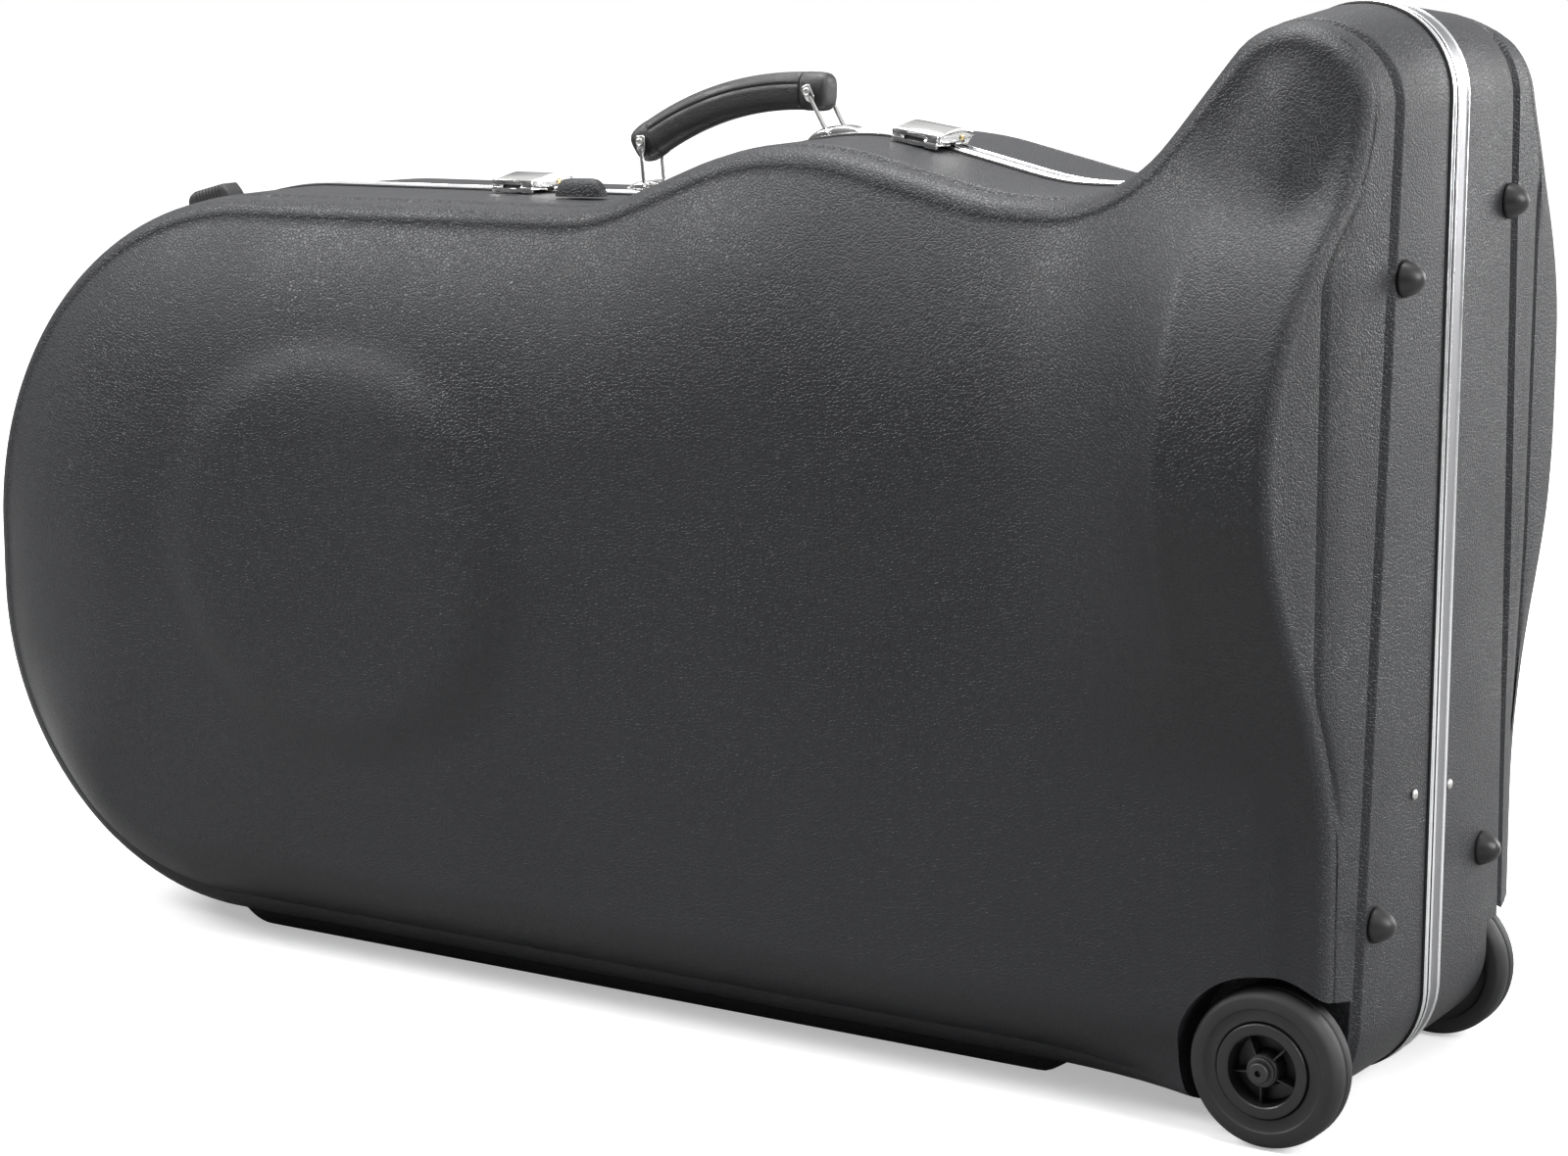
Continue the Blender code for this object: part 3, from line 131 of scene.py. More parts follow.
def mirrored(obj):
    """A copy on the other side of the parting plane, with its faces turned out again."""
    other = copy_of(obj)
    other.data.transform(Matrix.Diagonal((1, -1, 1, 1)))
    other.data.flip_normals()
    return other


def joined(objs):
    pick(*objs)
    bpy.ops.object.join()
    return bpy.context.view_layer.objects.active


print("helpers ready")

# %% [markdown]
# ## Turned pieces
#
# Tyre, hub, bolt, washer, foot and rivet are all turned forms. Each starts as a circle, and its edge is
# extruded and scaled from one profile point to the next, as a wood turner reads a profile. A ring is closed
# with a bridge, a solid form by filling its two ends.


# %% Turning a profile
def turned(profile, steps=96, ring=False):
    radius, height = profile[0]
    bpy.ops.object.select_all(action="DESELECT")
    bpy.ops.mesh.primitive_circle_add(vertices=steps, radius=radius, fill_type="NOTHING", location=(0, 0, height))
    obj = bpy.context.object
    pick(obj)
    bpy.ops.object.transform_apply(location=True, rotation=True, scale=True)
    edit(obj)
    bpy.ops.mesh.select_mode(type="EDGE")
    bpy.ops.mesh.select_all(action="SELECT")
    for r, h in profile[1:]:
        bpy.ops.mesh.extrude_edges_move(TRANSFORM_OT_translate={"value": (0, 0, h - height)})
        bpy.ops.transform.resize(value=(r / radius, r / radius, 1), center_override=(0, 0, h))
        radius, height = r, h
    bpy.ops.mesh.select_all(action="DESELECT")
    bpy.ops.mesh.select_non_manifold()
    if ring:
        bpy.ops.mesh.bridge_edge_loops()
    else:
        bpy.ops.mesh.fill_holes(sides=0)
    bpy.ops.mesh.select_all(action="SELECT")
    bpy.ops.mesh.normals_make_consistent(inside=False)
    leave_edit()
    return obj


def arc(centre, radius, start, stop, count):
    """Profile points along an arc, angles in degrees."""
    turns = [math.radians(start + (stop - start) * k / count) for k in range(count + 1)]
    return [(centre[0] + radius * math.cos(t), centre[1] + radius * math.sin(t)) for t in turns]


def stand(obj, location, axis="Z"):
    """Turns a piece made along Z onto an axis: -Y faces the near side, +X the bell end."""
    if axis == "-Y":
        obj.rotation_euler = (math.pi / 2, 0, 0)
    if axis == "X":
        obj.rotation_euler = (0, math.pi / 2, 0)
    obj.location = location
    settle(obj)
    return obj


print("turning ready")

# %% [markdown]
# ## Finishes
#
# Every finish is built from noise and cells on Object coordinates, in metres, so its grain has a real size.
# A small kit keeps each recipe short: a base colour, cells or noise for height, and noise for roughness.


# %% Kit for materials
class Finish:
    def __init__(self, name, colour, roughness, metallic=0.0):
        self.mat = bpy.data.materials.new(name)
        self.mat.use_nodes = True
        self.tree = self.mat.node_tree
        self.shader = self.tree.nodes["Principled BSDF"]
        self.set(self.shader, **{"Base Color": (*colour, 1), "Roughness": roughness, "Metallic": metallic})
        self.coords = self.tree.nodes.new("ShaderNodeTexCoord").outputs["Object"]
        self.colour = colour

    @staticmethod
    def set(node, **values):
        for key, value in values.items():
            node.inputs[key].default_value = value

    def link(self, a, b):
        self.tree.links.new(a, b)

    def stretched(self, scale):
        mapping = self.tree.nodes.new("ShaderNodeMapping")
        mapping.inputs["Scale"].default_value = scale
        self.link(self.coords, mapping.inputs["Vector"])
        return mapping.outputs["Vector"]

    def noise(self, scale, detail=3.0, vector=None):
        node = self.tree.nodes.new("ShaderNodeTexNoise")
        self.set(node, Scale=scale, Detail=detail)
        self.link(vector or self.coords, node.inputs["Vector"])
        return node.outputs["Fac"]

    def cells(self, scale, vector=None, feature="DISTANCE_TO_EDGE"):
        node = self.tree.nodes.new("ShaderNodeTexVoronoi")
        node.feature = feature
        self.set(node, Scale=scale)
        self.link(vector or self.coords, node.inputs["Vector"])
        return node.outputs["Distance"]

    def mapped(self, value, low, high, to_low=0.0, to_high=1.0):
        node = self.tree.nodes.new("ShaderNodeMapRange")
        node.interpolation_type = "SMOOTHSTEP"
        for key, number in (("From Min", low), ("From Max", high), ("To Min", to_low), ("To Max", to_high)):
            node.inputs[key].default_value = number
        self.link(value, node.inputs["Value"])
        return node.outputs["Result"]

    def combined(self, a, b, operation="ADD", share=1.0):
        """a and share x b in one value."""
        scaled = b
        if share != 1.0:
            times = self.tree.nodes.new("ShaderNodeMath")
            times.operation = "MULTIPLY"
            times.inputs[1].default_value = share
            self.link(b, times.inputs[0])
            scaled = times.outputs[0]
        node = self.tree.nodes.new("ShaderNodeMath")
        node.operation = operation
        self.link(a, node.inputs[0])
        self.link(scaled, node.inputs[1])
        return node.outputs[0]

    def warped(self, scale, amount):
        """Coordinates pushed about by noise, so that cells and lines aren't regular."""
        noise = self.tree.nodes.new("ShaderNodeTexNoise")
        self.set(noise, Scale=scale, Detail=2.0)
        self.link(self.coords, noise.inputs["Vector"])
        move = self.tree.nodes.new("ShaderNodeVectorMath")
        move.operation = "MULTIPLY_ADD"
        move.inputs[1].default_value = (amount, amount, amount)
        self.link(noise.outputs["Color"], move.inputs[0])
        self.link(self.coords, move.inputs[2])
        return move.outputs["Vector"]

    def bump(self, height, strength, distance, below=None):
        node = self.tree.nodes.new("ShaderNodeBump")
        self.set(node, Strength=strength, Distance=distance)
        self.link(height, node.inputs["Height"])
        if below:
            self.link(below, node.inputs["Normal"])
        self.link(node.outputs["Normal"], self.shader.inputs["Normal"])
        return node.outputs["Normal"]

    def rough(self, value, low, high):
        self.link(self.mapped(value, 0.3, 0.7, low, high), self.shader.inputs["Roughness"])

    def tint(self, value, darker, lighter):
        """Colour that varies between a darker and a lighter shade of the base."""
        node = self.tree.nodes.new("ShaderNodeMix")
        node.data_type = "RGBA"
        node.inputs["A"].default_value = (*[c * darker for c in self.colour], 1)
        node.inputs["B"].default_value = (*[c * lighter for c in self.colour], 1)
        self.link(self.mapped(value, 0.25, 0.75), node.inputs["Factor"])
        self.link(node.outputs["Result"], self.shader.inputs["Base Color"])


print("material kit ready")

# %% [markdown]
# ### Grained black plastic
#
# The shells are thermoformed ABS sheet with a leather grain: rounded pebbles about 2.5 mm across with fine
# creases between them. Cells measured to their edges give the pebbles, noise bends them, and a finer noise
# adds the matt bloom of the sheet. Rubbing leaves some places a little glossier.

# %% Grained plastic
plastic = Finish("abs_grained", (0.018, 0.0185, 0.0205), 0.42)
warp = plastic.warped(150, 0.0026)
pebbles = plastic.mapped(plastic.cells(400, warp), 0.0, 0.20)
pores = plastic.noise(2600, 2.0)
grain = plastic.combined(pebbles, pores, share=0.22)
plastic.bump(grain, 0.72, 0.00030)
plastic.rough(plastic.noise(9, 4.0), 0.36, 0.48)
plastic.tint(plastic.combined(plastic.noise(5, 3.0), pebbles, share=0.25), 0.75, 1.15)
plastic.shader.inputs["Specular IOR Level"].default_value = 0.30
print("finish:", plastic.mat.name)

# %% [markdown]
# ### Metals
#
# The edge frame is polished aluminium with faint draw lines. Its channel is a rougher satin whose darker colour is
# painted shade, and its grooves and gap are painted near black as painted shade.
# Latches, bails and base plates are nickel plated, very smooth with small hairline scratches. Hinges and
# axle plates are zinc plated and duller, and the axle bolts and washers are blackened.


# %% Metals
def metal(name, colour, low, high, scratch, strength):
    finish = Finish(name, colour, low, 1.0)
    lines = finish.noise(1.0, 3.0, finish.stretched(scratch))
    finish.bump(lines, strength, 0.00004)
    finish.rough(finish.combined(finish.noise(60, 3.0), lines, share=0.25), low, high)
    finish.tint(finish.noise(24, 2.0), 0.94, 1.03)
    return finish.mat


aluminium = metal("aluminium", (0.86, 0.87, 0.88), 0.14, 0.26, (60, 2600, 60), 0.25)
chrome = metal("chrome", (0.66, 0.66, 0.65), 0.07, 0.17, (180, 1400, 180), 0.12)
# channel: a rougher satin finish, with its darker colour painted shade of the recessed channel
channel = metal("aluminium_satin_painted_shade", (0.24, 0.24, 0.25), 0.30, 0.42, (60, 2600, 60), 0.25)
# shadow: near black, painted shade for the parting gap and the grooves between the beads
shadow = metal("aluminium_painted_groove_shade", (0.03, 0.03, 0.03), 0.50, 0.62, (60, 2600, 60), 0.25)
zinc = metal("zinc_plated", (0.56, 0.56, 0.55), 0.28, 0.44, (900, 900, 900), 0.30)
dark_zinc = metal("blackened_zinc", (0.07, 0.07, 0.07), 0.38, 0.55, (900, 900, 900), 0.30)
brass = metal("brass_rivet", (0.66, 0.52, 0.28), 0.22, 0.36, (900, 900, 900), 0.20)
print("finishes: aluminium, chrome, zinc, brass")

# %% [markdown]
# ### Rubber, hub plastic, leather and plush
#
# The tyres are matt black rubber with a faint bloom. The hubs are smoother moulded plastic. The handle is
# covered in thin black leather with a fine pore. The lining is short plush: dark, soft, with a sheen at
# grazing angles and a nap that lies in patches.

# %% Soft and dark finishes
rubber = Finish("rubber", (0.011, 0.011, 0.012), 0.66)
rubber.bump(rubber.noise(1500, 3.0), 0.18, 0.00012)
rubber.rough(rubber.noise(40, 4.0), 0.55, 0.70)
rubber.tint(rubber.noise(30, 4.0), 0.85, 1.30)

hub_plastic = Finish("hub_plastic", (0.009, 0.009, 0.010), 0.44)
hub_plastic.bump(hub_plastic.noise(2200, 2.0), 0.10, 0.00008)
hub_plastic.rough(hub_plastic.noise(55, 3.0), 0.36, 0.48)
hub_plastic.tint(hub_plastic.noise(35, 3.0), 0.9, 1.15)

leather = Finish("leather", (0.012, 0.012, 0.013), 0.38)
pore = leather.mapped(leather.cells(700, leather.warped(350, 0.0012)), 0.0, 0.18)
leather.bump(leather.combined(pore, leather.noise(2600, 2.0), share=0.3), 0.5, 0.00022)
leather.rough(leather.noise(70, 3.0), 0.32, 0.48)
leather.tint(leather.noise(40, 3.0), 0.85, 1.25)

plush = Finish("plush", (0.024, 0.024, 0.027), 0.95)
nap = plush.combined(plush.noise(1400, 4.0), plush.noise(45, 3.0), share=0.6)
plush.bump(nap, 0.55, 0.0006)
plush.tint(plush.combined(plush.noise(18, 4.0), plush.noise(1400, 4.0), share=0.5), 0.65, 1.5)
Finish.set(plush.shader, **{"Sheen Weight": 0.35, "Sheen Roughness": 0.5, "Specular IOR Level": 0.2})
print("finishes: rubber, hub plastic, leather, plush")

# %% [markdown]
# ## The outline of the case
#
# Seen from the side the case is a straight bell end, a tall neck over the bell, a hump, and a round tail.
# The shells, frames and linings all follow that outline, so it is made once: corners with radii, then a
# dense closed path. Lofting along it gives the double curvature that a cube and bevels can't give.

# %% Sizes of the outline
END_X, TAIL_X = 0.5551, -0.5709
FLOOR_CLEAR, BELL_TOP = 0.0115, 0.686
WHEEL_X, WHEEL_Z = 0.5106, 0.050
BELL_RADIUS, BELL_CENTRE = 0.207, 0.418
WALL = 0.003
corners = [(END_X, FLOOR_CLEAR, 0.060), (END_X, BELL_TOP, 0.056), (END_X - 0.086, BELL_TOP, 0.056),
           (END_X - 0.177, 0.569, 0.100), (END_X - 0.262, 0.569, 0.200), (END_X - 0.425, 0.606, 0.220),
           (END_X - 0.565, 0.5495, 0.150), (TAIL_X, 0.544, 0.262), (TAIL_X, FLOOR_CLEAR, 0.230)]


def round_path(spacing=0.0012):
    """Closed path with rounded corners, counter-clockwise from the heel, and the middle of each corner."""
    points, middles = [], []
    for i, (x, z, radius) in enumerate(corners):
        here = Vector((x, z))
        before = (Vector(corners[i - 1][:2]) - here).normalized()
        after = (Vector(corners[(i + 1) % len(corners)][:2]) - here).normalized()
        half = before.angle(after) / 2
        centre = here + (before + after).normalized() * radius / math.sin(half)
        a = here + before * radius / math.tan(half) - centre
        b = here + after * radius / math.tan(half) - centre
        turn = a.angle(b) * (1 if a.x * b.y - a.y * b.x > 0 else -1)
        for k in range(61):
            c, s = math.cos(turn * k / 60), math.sin(turn * k / 60)
            points.append((centre.x + a.x * c - a.y * s, centre.y + a.x * s + a.y * c))
        middles.append(points[-31])
    ring = np.array(points + points[:1])
    length = np.concatenate([[0], np.cumsum(np.linalg.norm(np.diff(ring, axis=0), axis=1))])
    even = np.linspace(0, length[-1], int(length[-1] / spacing), endpoint=False)
    path = np.stack([np.interp(even, length, ring[:, k]) for k in (0, 1)], axis=1)
    return path, [int(np.argmin(((path - m) ** 2).sum(axis=1))) for m in middles]


path, middles = round_path()
ahead = np.roll(path, -7, axis=0) - np.roll(path, 7, axis=0)
ahead /= np.linalg.norm(ahead, axis=1)[:, None]
path_normals = np.stack([ahead[:, 1], -ahead[:, 0]], axis=1)
print("outline:", len(path), "points, width", round(float(np.ptp(path[:, 0])), 4), "height",
      round(float(np.ptp(path[:, 1])), 4))

# %% [markdown]
# The path is sampled into four sides: bell end, top, tail and bottom. Opposite sides have the same count, so
# the face between them can be filled with a grid. Points stand closer where the outline bends.


# %% Four sides
def thinned(piece, count, floor=6.0):
    """Fractions along a piece of the path, closer together where it bends."""
    step = np.linalg.norm(np.diff(piece, axis=0), axis=1)
    heading = np.unwrap(np.arctan2(np.diff(piece[:, 1]), np.diff(piece[:, 0])))
    bend = np.convolve(np.abs(np.gradient(heading)) / step, np.ones(15) / 15, mode="same")
    filled = np.concatenate([[0], np.cumsum((np.sqrt(bend) + floor) * step)])
    wanted = np.linspace(0, filled[-1], count + 1)
    index = np.interp(wanted, filled, np.arange(len(filled)))
    return np.stack([np.interp(index, np.arange(len(piece)), piece[:, k]) for k in (0, 1)], axis=1)


def side_of(start, stop):
    indices = [start + k for k in range((stop - start) % len(path) + 1)]
    return path[np.array(indices) % len(path)]


def at_x(piece, xs):
    order = np.argsort(piece[:, 0])
    return np.stack([xs, np.interp(xs, piece[order, 0], piece[order, 1])], axis=1)


heel, bell, tail_top, tail_low = middles[0], middles[1], middles[7], middles[8]
top_piece, low_piece = side_of(bell, tail_top), side_of(tail_low, heel)[::-1]
near_columns = END_X - np.concatenate([[0.0205, 0.0250, 0.0300, 0.0360], np.linspace(0.042, 0.264, 42)])
ledge_front, ledge_rear = END_X - 0.199, TAIL_X + 0.218
straight = np.linspace(near_columns[-1] - 0.006, ledge_rear + 0.028, 26)
rounded = ledge_rear + 0.028 * (1 - np.linspace(0, 1, 10)[1:]) ** 1.6
rest = thinned(low_piece[low_piece[:, 0] < ledge_rear], 21, 2.0)[1:, 0]
low_x = np.concatenate([[low_piece[0, 0]], near_columns, straight, rounded, rest])
away = thinned(top_piece[top_piece[:, 0] <= near_columns[-1]], len(low_x) - 1 - len(near_columns), 2.0)[1:, 0]
top_x = np.concatenate([[top_piece[0, 0]], near_columns, away])
end_side = thinned(side_of(heel, bell), 60, 3.0)
tail_side = thinned(side_of(tail_top, tail_low), 60)
top_side, low_side = at_x(top_piece, top_x), at_x(low_piece, low_x)
COLUMNS, ROWS = len(top_x) - 1, 60
ring_points = np.concatenate([end_side[:-1], top_side[:-1], tail_side[:-1], low_side[::-1][:-1]])
COUNT = len(ring_points)
nearest = [int(np.argmin(((path - p) ** 2).sum(axis=1))) for p in ring_points]
ring_normals = path_normals[nearest]
print("ring of", COUNT, "points,", COLUMNS, "columns by", ROWS, "rows")


# %% Filling the face with a grid
def face_grid(ring):
    """A grid of points inside a ring: each side pulls on it in proportion to its distance."""
    end, top = ring[:ROWS + 1], ring[ROWS:ROWS + COLUMNS + 1]
    tail = ring[ROWS + COLUMNS:2 * ROWS + COLUMNS + 1]
    low = np.concatenate([ring[2 * ROWS + COLUMNS:], ring[:1]])[::-1]
    u = np.linspace(0, 1, COLUMNS + 1)[:, None, None]
    v = np.linspace(0, 1, ROWS + 1)[None, :, None]
    corner = (1 - u) * (1 - v) * end[0] + (1 - u) * v * end[-1] + u * (1 - v) * tail[-1] + u * v * tail[0]
    return (1 - u) * end[None] + u * tail[::-1][None] + (1 - v) * low[:, None] + v * top[:, None] - corner


print("grid ready:", face_grid(ring_points).shape)

# %% [markdown]
# ## The moulded form of a half
#
# Each half has an edge band, a groove round it, a rolled lip, and a domed face. Across the face runs the
# ridge that holds the bell, an arc of 207 mm radius, and behind it the body bulges softly. These are height
# fields over the side view, the ones the CAD model uses, and here they are sampled finely. Over the bell the
# far half is fuller and stands more upright than its CAD solid, as its outline in the photograph shows.

# %% Depth of the face
GROOVE_DEEP, LIP_RADIUS, DOME_REACH, FOOT_REACH = 0.005, 0.014, 0.150, 0.045
RIM_WIDTH, FLARE, EDGE_RADIUS, CREASE_DEPTH, CREASE_CUT = 0.098, 0.150, 0.010, 0.154, 0.004


def smoothstep(value):
    value = np.clip(value, 0.0, 1.0)
    return value * value * (3 - 2 * value)


edge = path[path[:, 0] < END_X - 0.02][::6]
edge_down = np.clip(-path_normals[path[:, 0] < END_X - 0.02][::6, 1], 0, 1)
edge_reach = DOME_REACH + (FOOT_REACH - DOME_REACH) * smoothstep(edge_down)


def rounding(points):
    """How far in each point lies from the top, tail and bottom, as a share of the dome's reach there."""
    flat = points.reshape(-1, 2)
    best = np.full(len(flat), 9.0)
    for start in range(0, len(edge), 64):
        delta = flat[:, None, :] - edge[None, start:start + 64, :]
        gone = np.sqrt((delta ** 2).sum(axis=2)) - 0.017
        best = np.minimum(best, (gone / edge_reach[None, start:start + 64]).min(axis=1))
    return best.reshape(points.shape[:-1])


bell_heights = [0.461, 0.488, 0.515, 0.542, 0.569, 0.596, 0.622, 0.650, 0.686]
bell_depths = [0.2070, 0.2055, 0.1990, 0.1880, 0.1740, 0.1620, 0.1470, 0.1410, 0.1390]


class Half:
    def __init__(self, side, band, depth, ledge):
        self.side, self.band, self.depth, self.ledge = side, band, depth, ledge

    def upright(self, z):
        """Share of the end's draft. The far end stands nearly upright over the bell."""
        return 1 - 0.94 * smoothstep((z - 0.16) / 0.20) * (self.side > 0)

    def groove(self):
        end = np.clip(ring_normals[:, 0], 0, 1) ** 2
        return self.band + end * (0.016 - 0.045 * (ring_points[:, 1] - 0.07))

    def bell(self, z):
        turn = BELL_RADIUS / math.sqrt(2)
        top, low = self.band + 0.025, max(self.depth - 0.007, self.band + 0.050)
        arc_depth = np.sqrt(np.clip(BELL_RADIUS ** 2 - (z - BELL_CENTRE) ** 2, 0, None))
        neck = top + (turn - top) * np.exp(-np.clip(z - BELL_CENTRE - turn, 0, None) / (turn - top))
        upper = np.where(z > BELL_CENTRE + turn, neck, arc_depth)
        if self.side > 0:
            shifts = (-0.012, -0.006, 0.0, 0.006, 0.012)
            upper = sum(np.interp(z + shift, bell_heights, bell_depths) for shift in shifts) / 5
        lower = low + (BELL_RADIUS - low) * smoothstep((z - 0.178) / 0.235)
        return np.where(z > BELL_CENTRE, upper, lower)

    def face(self, points):
        x, z = points[..., 0], points[..., 1]
        lip = self.band + 0.0075 + LIP_RADIUS
        far = 1 - (1 - np.clip(rounding(points), 0, 1)) ** 2
        end = 1 - (1 - np.clip((END_X - x - 0.012) / 0.045, 0, 1)) ** 2
        body = lip + (self.depth - lip) * far * end
        disc = np.hypot((x - TAIL_X - 0.370) / 1.05, z - 0.305)
        body = body + 0.006 * smoothstep((0.152 - disc) / 0.028) * smoothstep((0.50 - z) / 0.10)
        flare = np.clip(1 - (END_X - RIM_WIDTH - x) / FLARE, 0, 1) ** 2
        ridge = body + (self.bell(z) - body) * flare
        blend = np.clip(0.5 + 0.5 * (ridge - body) / 0.006, 0, 1)
        return body + (ridge - body) * blend + 0.006 * blend * (1 - blend) * 0.5

    def under(self, points, thick):
        """Depth of the inner skin, kept a wall away from the face also where the face is steep."""
        depth = self.face(points) - thick
        for reach, rise in ((0.70, 0.72), (0.95, 0.32)):
            for k in range(8):
                way = np.array([math.cos(math.pi * k / 4), math.sin(math.pi * k / 4)]) * thick * reach
                depth = np.minimum(depth, self.face(points + way) - thick * rise)
        return depth


near_half = Half(-1, 0.088, 0.150, 0.0135)
far_half = Half(1, 0.114, 0.158, 0.0215)
print("bell depth at mid height:", round(float(near_half.bell(np.array([BELL_CENTRE]))[0]), 4))

# %% [markdown]
# The skin is a stack of rings from the rim up to the face. Each ring is given by its depth from the parting
# plane and its inset from the outline. Sharp turns of that profile are cut back by about a millimetre, as
# sheet plastic drawn over a mould never has a sharp edge.


# %% Rings of a skin
def band_rows(half, thick, start):
    groove, even = half.groove(), np.zeros(COUNT)
    x = ring_points[:, 0]
    foot = (1 - (1 - np.clip((x - ledge_rear) / 0.028, 0, 1)) ** 2) * smoothstep((ledge_front - x) / 0.030)
    foot = foot * (ring_normals[:, 1] < -0.8)
    deep = 0.0015 + GROOVE_DEEP + even
    rows = [(start + even, even), (half.ledge + thick + even, 0.0003 + even),
            (half.ledge + 0.004 + thick + even, 0.0003 - (FLOOR_CLEAR + 0.0003) * foot),
            (groove - 0.0035 - thick, 0.0015 - (FLOOR_CLEAR + 0.0015) * foot), (groove - 0.3 * thick, deep)]
    if not thick:
        rows.append((groove + 0.003, deep))
    return [(depth, inset + thick) for depth, inset in rows]


def end_rows(half, lip, bell_depth, z, thick, count):
    """Across the bell end: a draft, a crease, a bulging lens and a crisp edge, in count rings."""
    share = half.upright(z)
    crease = np.minimum(CREASE_DEPTH, bell_depth - EDGE_RADIUS - 0.006)
    cut = CREASE_CUT * smoothstep((z - 0.20) / 0.04) * smoothstep((0.58 - z) / 0.03)

    def slope(depth):
        lean = 0.17 * (np.minimum(depth, crease) - lip) + 0.26 * np.clip(depth - crease, 0, None)
        return 0.003 * (0.4 + 0.6 * share) + lean * share

    turn = bell_depth - EDGE_RADIUS
    reach = slope(turn) + EDGE_RADIUS
    if thick:
        stops = [lip + (turn - lip) * k / (count - 1) for k in range(count)]
        return [(d, slope(d) + cut / 2 + thick) for d in stops], reach
    rows = [(lip, slope(lip)), (lip + (crease - lip) * 0.5, slope(lip + (crease - lip) * 0.5))]
    rows += [(crease + d, slope(crease + d) + cut * c)
             for d, c in ((-0.005, 0), (-0.003, 0.30), (-0.0012, 0.85), (0, 1.0), (0.0014, 0.8), (0.0038, 0.2))]
    rows += [(crease + (turn - crease) * t, slope(crease + (turn - crease) * t)) for t in (0.35, 0.7)]
    for degrees in (0, 18, 36, 54, 72):
        a = math.radians(degrees)
        rows.append((turn + EDGE_RADIUS * math.sin(a), slope(turn) + EDGE_RADIUS * (1 - math.cos(a))))
    return rows, reach


def skin_rings(half, thick, start):
    groove = half.groove()
    z = ring_points[:, 1]
    lip = groove + 0.0075
    weight = smoothstep((ring_normals[:, 0] - 0.25) / 0.7)
    draft = 0.006 * np.clip(ring_normals[:, 1], 0, 1) * smoothstep((z - 0.56) / 0.06)
    draft = draft * smoothstep((ring_points[:, 0] - END_X + 0.26) / 0.05)
    count = 6 if thick else 15
    ends, end_reach = end_rows(half, lip, half.bell(z), z, thick, count)
    reach = 0.003 + LIP_RADIUS
    reach = reach + (end_reach - reach) * weight
    border = ring_points - ring_normals * (reach + draft)[:, None]
    height = half.face(border)
    rows = band_rows(half, thick, start)
    if not thick:
        rows = softened(rows, 0.0012)
    for k, (end_depth, end_inset) in enumerate(ends):
        angle = math.radians((62 if thick else 84) * k / (count - 1))
        inset = 0.003 + (reach - 0.003) * (1 - math.cos(angle)) + thick * math.cos(angle)
        depth = lip + (height - lip) * math.sin(angle) - thick * math.sin(angle)
        corner = 4 * weight * (1 - weight) if thick else 0
        rows.append((depth + (end_depth - depth) * weight - 0.003 * corner,
                     inset + (end_inset - inset) * weight + 0.004 * corner))
    rings = []
    for depth, inset in rows:
        lean = draft * np.clip((depth - 0.02) / (groove - 0.02), 0, 1)
        rings.append((ring_points - ring_normals * (inset + lean)[:, None], depth))
    rings.append((border, half.under(border, thick) if thick else height))
    return rings


def softened(rows, cut):
    """Replaces each corner of the profile by three points, so that it reads as a small radius."""
    table = np.array([[d, i] for d, i in rows])
    soft = [table[0]]
    for k in range(1, len(table) - 1):
        here = table[k]
        sides = []
        for other in (table[k - 1], table[k + 1]):
            way = other - here
            length = np.maximum(np.linalg.norm(way, axis=0), 1e-9)
            sides.append(here + way * np.minimum(cut / length, 0.42))
        soft += [sides[0], 0.25 * sides[0] + 0.5 * here + 0.25 * sides[1], sides[1]]
    soft.append(table[-1])
    return [(row[0], row[1]) for row in soft]


print("rings on the outer skin:", len(skin_rings(near_half, 0, 0.0025)))


# %% From rings to a closed mesh
def skin_object(name, half, thick, start):
    rings = skin_rings(half, thick, start)
    grid = face_grid(rings[-1][0])
    depth = half.under(grid, thick) if thick else half.face(grid)
    points = [(x, half.side * y, z) for ring, level in rings for (x, z), y in zip(ring, level)]
    faces = [tuple(range(COUNT))]
    for row in range(len(rings) - 1):
        a, b = row * COUNT, (row + 1) * COUNT
        faces += [(a + i, a + (i + 1) % COUNT, b + (i + 1) % COUNT, b + i) for i in range(COUNT)]
    index = np.full((COLUMNS + 1, ROWS + 1), -1)
    last = (len(rings) - 1) * COUNT
    for v in range(ROWS + 1):
        index[0, v], index[COLUMNS, ROWS - v] = last + v, last + ROWS + COLUMNS + v
    for u in range(COLUMNS + 1):
        index[u, ROWS], index[COLUMNS - u, 0] = last + ROWS + u, last + (2 * ROWS + COLUMNS + u) % COUNT
    for u in range(1, COLUMNS):
        for v in range(1, ROWS):
            index[u, v] = len(points)
            points.append((grid[u, v, 0], half.side * depth[u, v], grid[u, v, 1]))
    for u in range(COLUMNS):
        for v in range(ROWS):
            faces.append((index[u, v], index[u + 1, v], index[u + 1, v + 1], index[u, v + 1]))
    mesh = bpy.data.meshes.new(name)
    mesh.from_pydata([tuple(map(float, p)) for p in points], [], [tuple(int(i) for i in f) for f in faces])
    obj = bpy.data.objects.new(name, mesh)
    bpy.context.scene.collection.objects.link(obj)
    point_out(obj)
    return obj


print("skins ready")

# %% [markdown]
# ## The two shells
#
# An outer skin less an inner skin leaves a wall 3 mm thick. The wheel arch is a round well pushed into the
# lower corner of the bell end: a cylinder is cut from the outer skin, and one a wall thicker from the inner.
# Both cuts are Booleans, and the rim of the well is left crisp, as on the real moulding.


# %% Cutting
def cut(obj, cutter, operation="DIFFERENCE", solver="EXACT"):
    pick(obj)
    mod = obj.modifiers.new("cut", "BOOLEAN")
    mod.operation, mod.object, mod.solver = operation, cutter, solver
    bpy.ops.object.modifier_apply(modifier=mod.name)
    bpy.data.objects.remove(cutter, do_unlink=True)


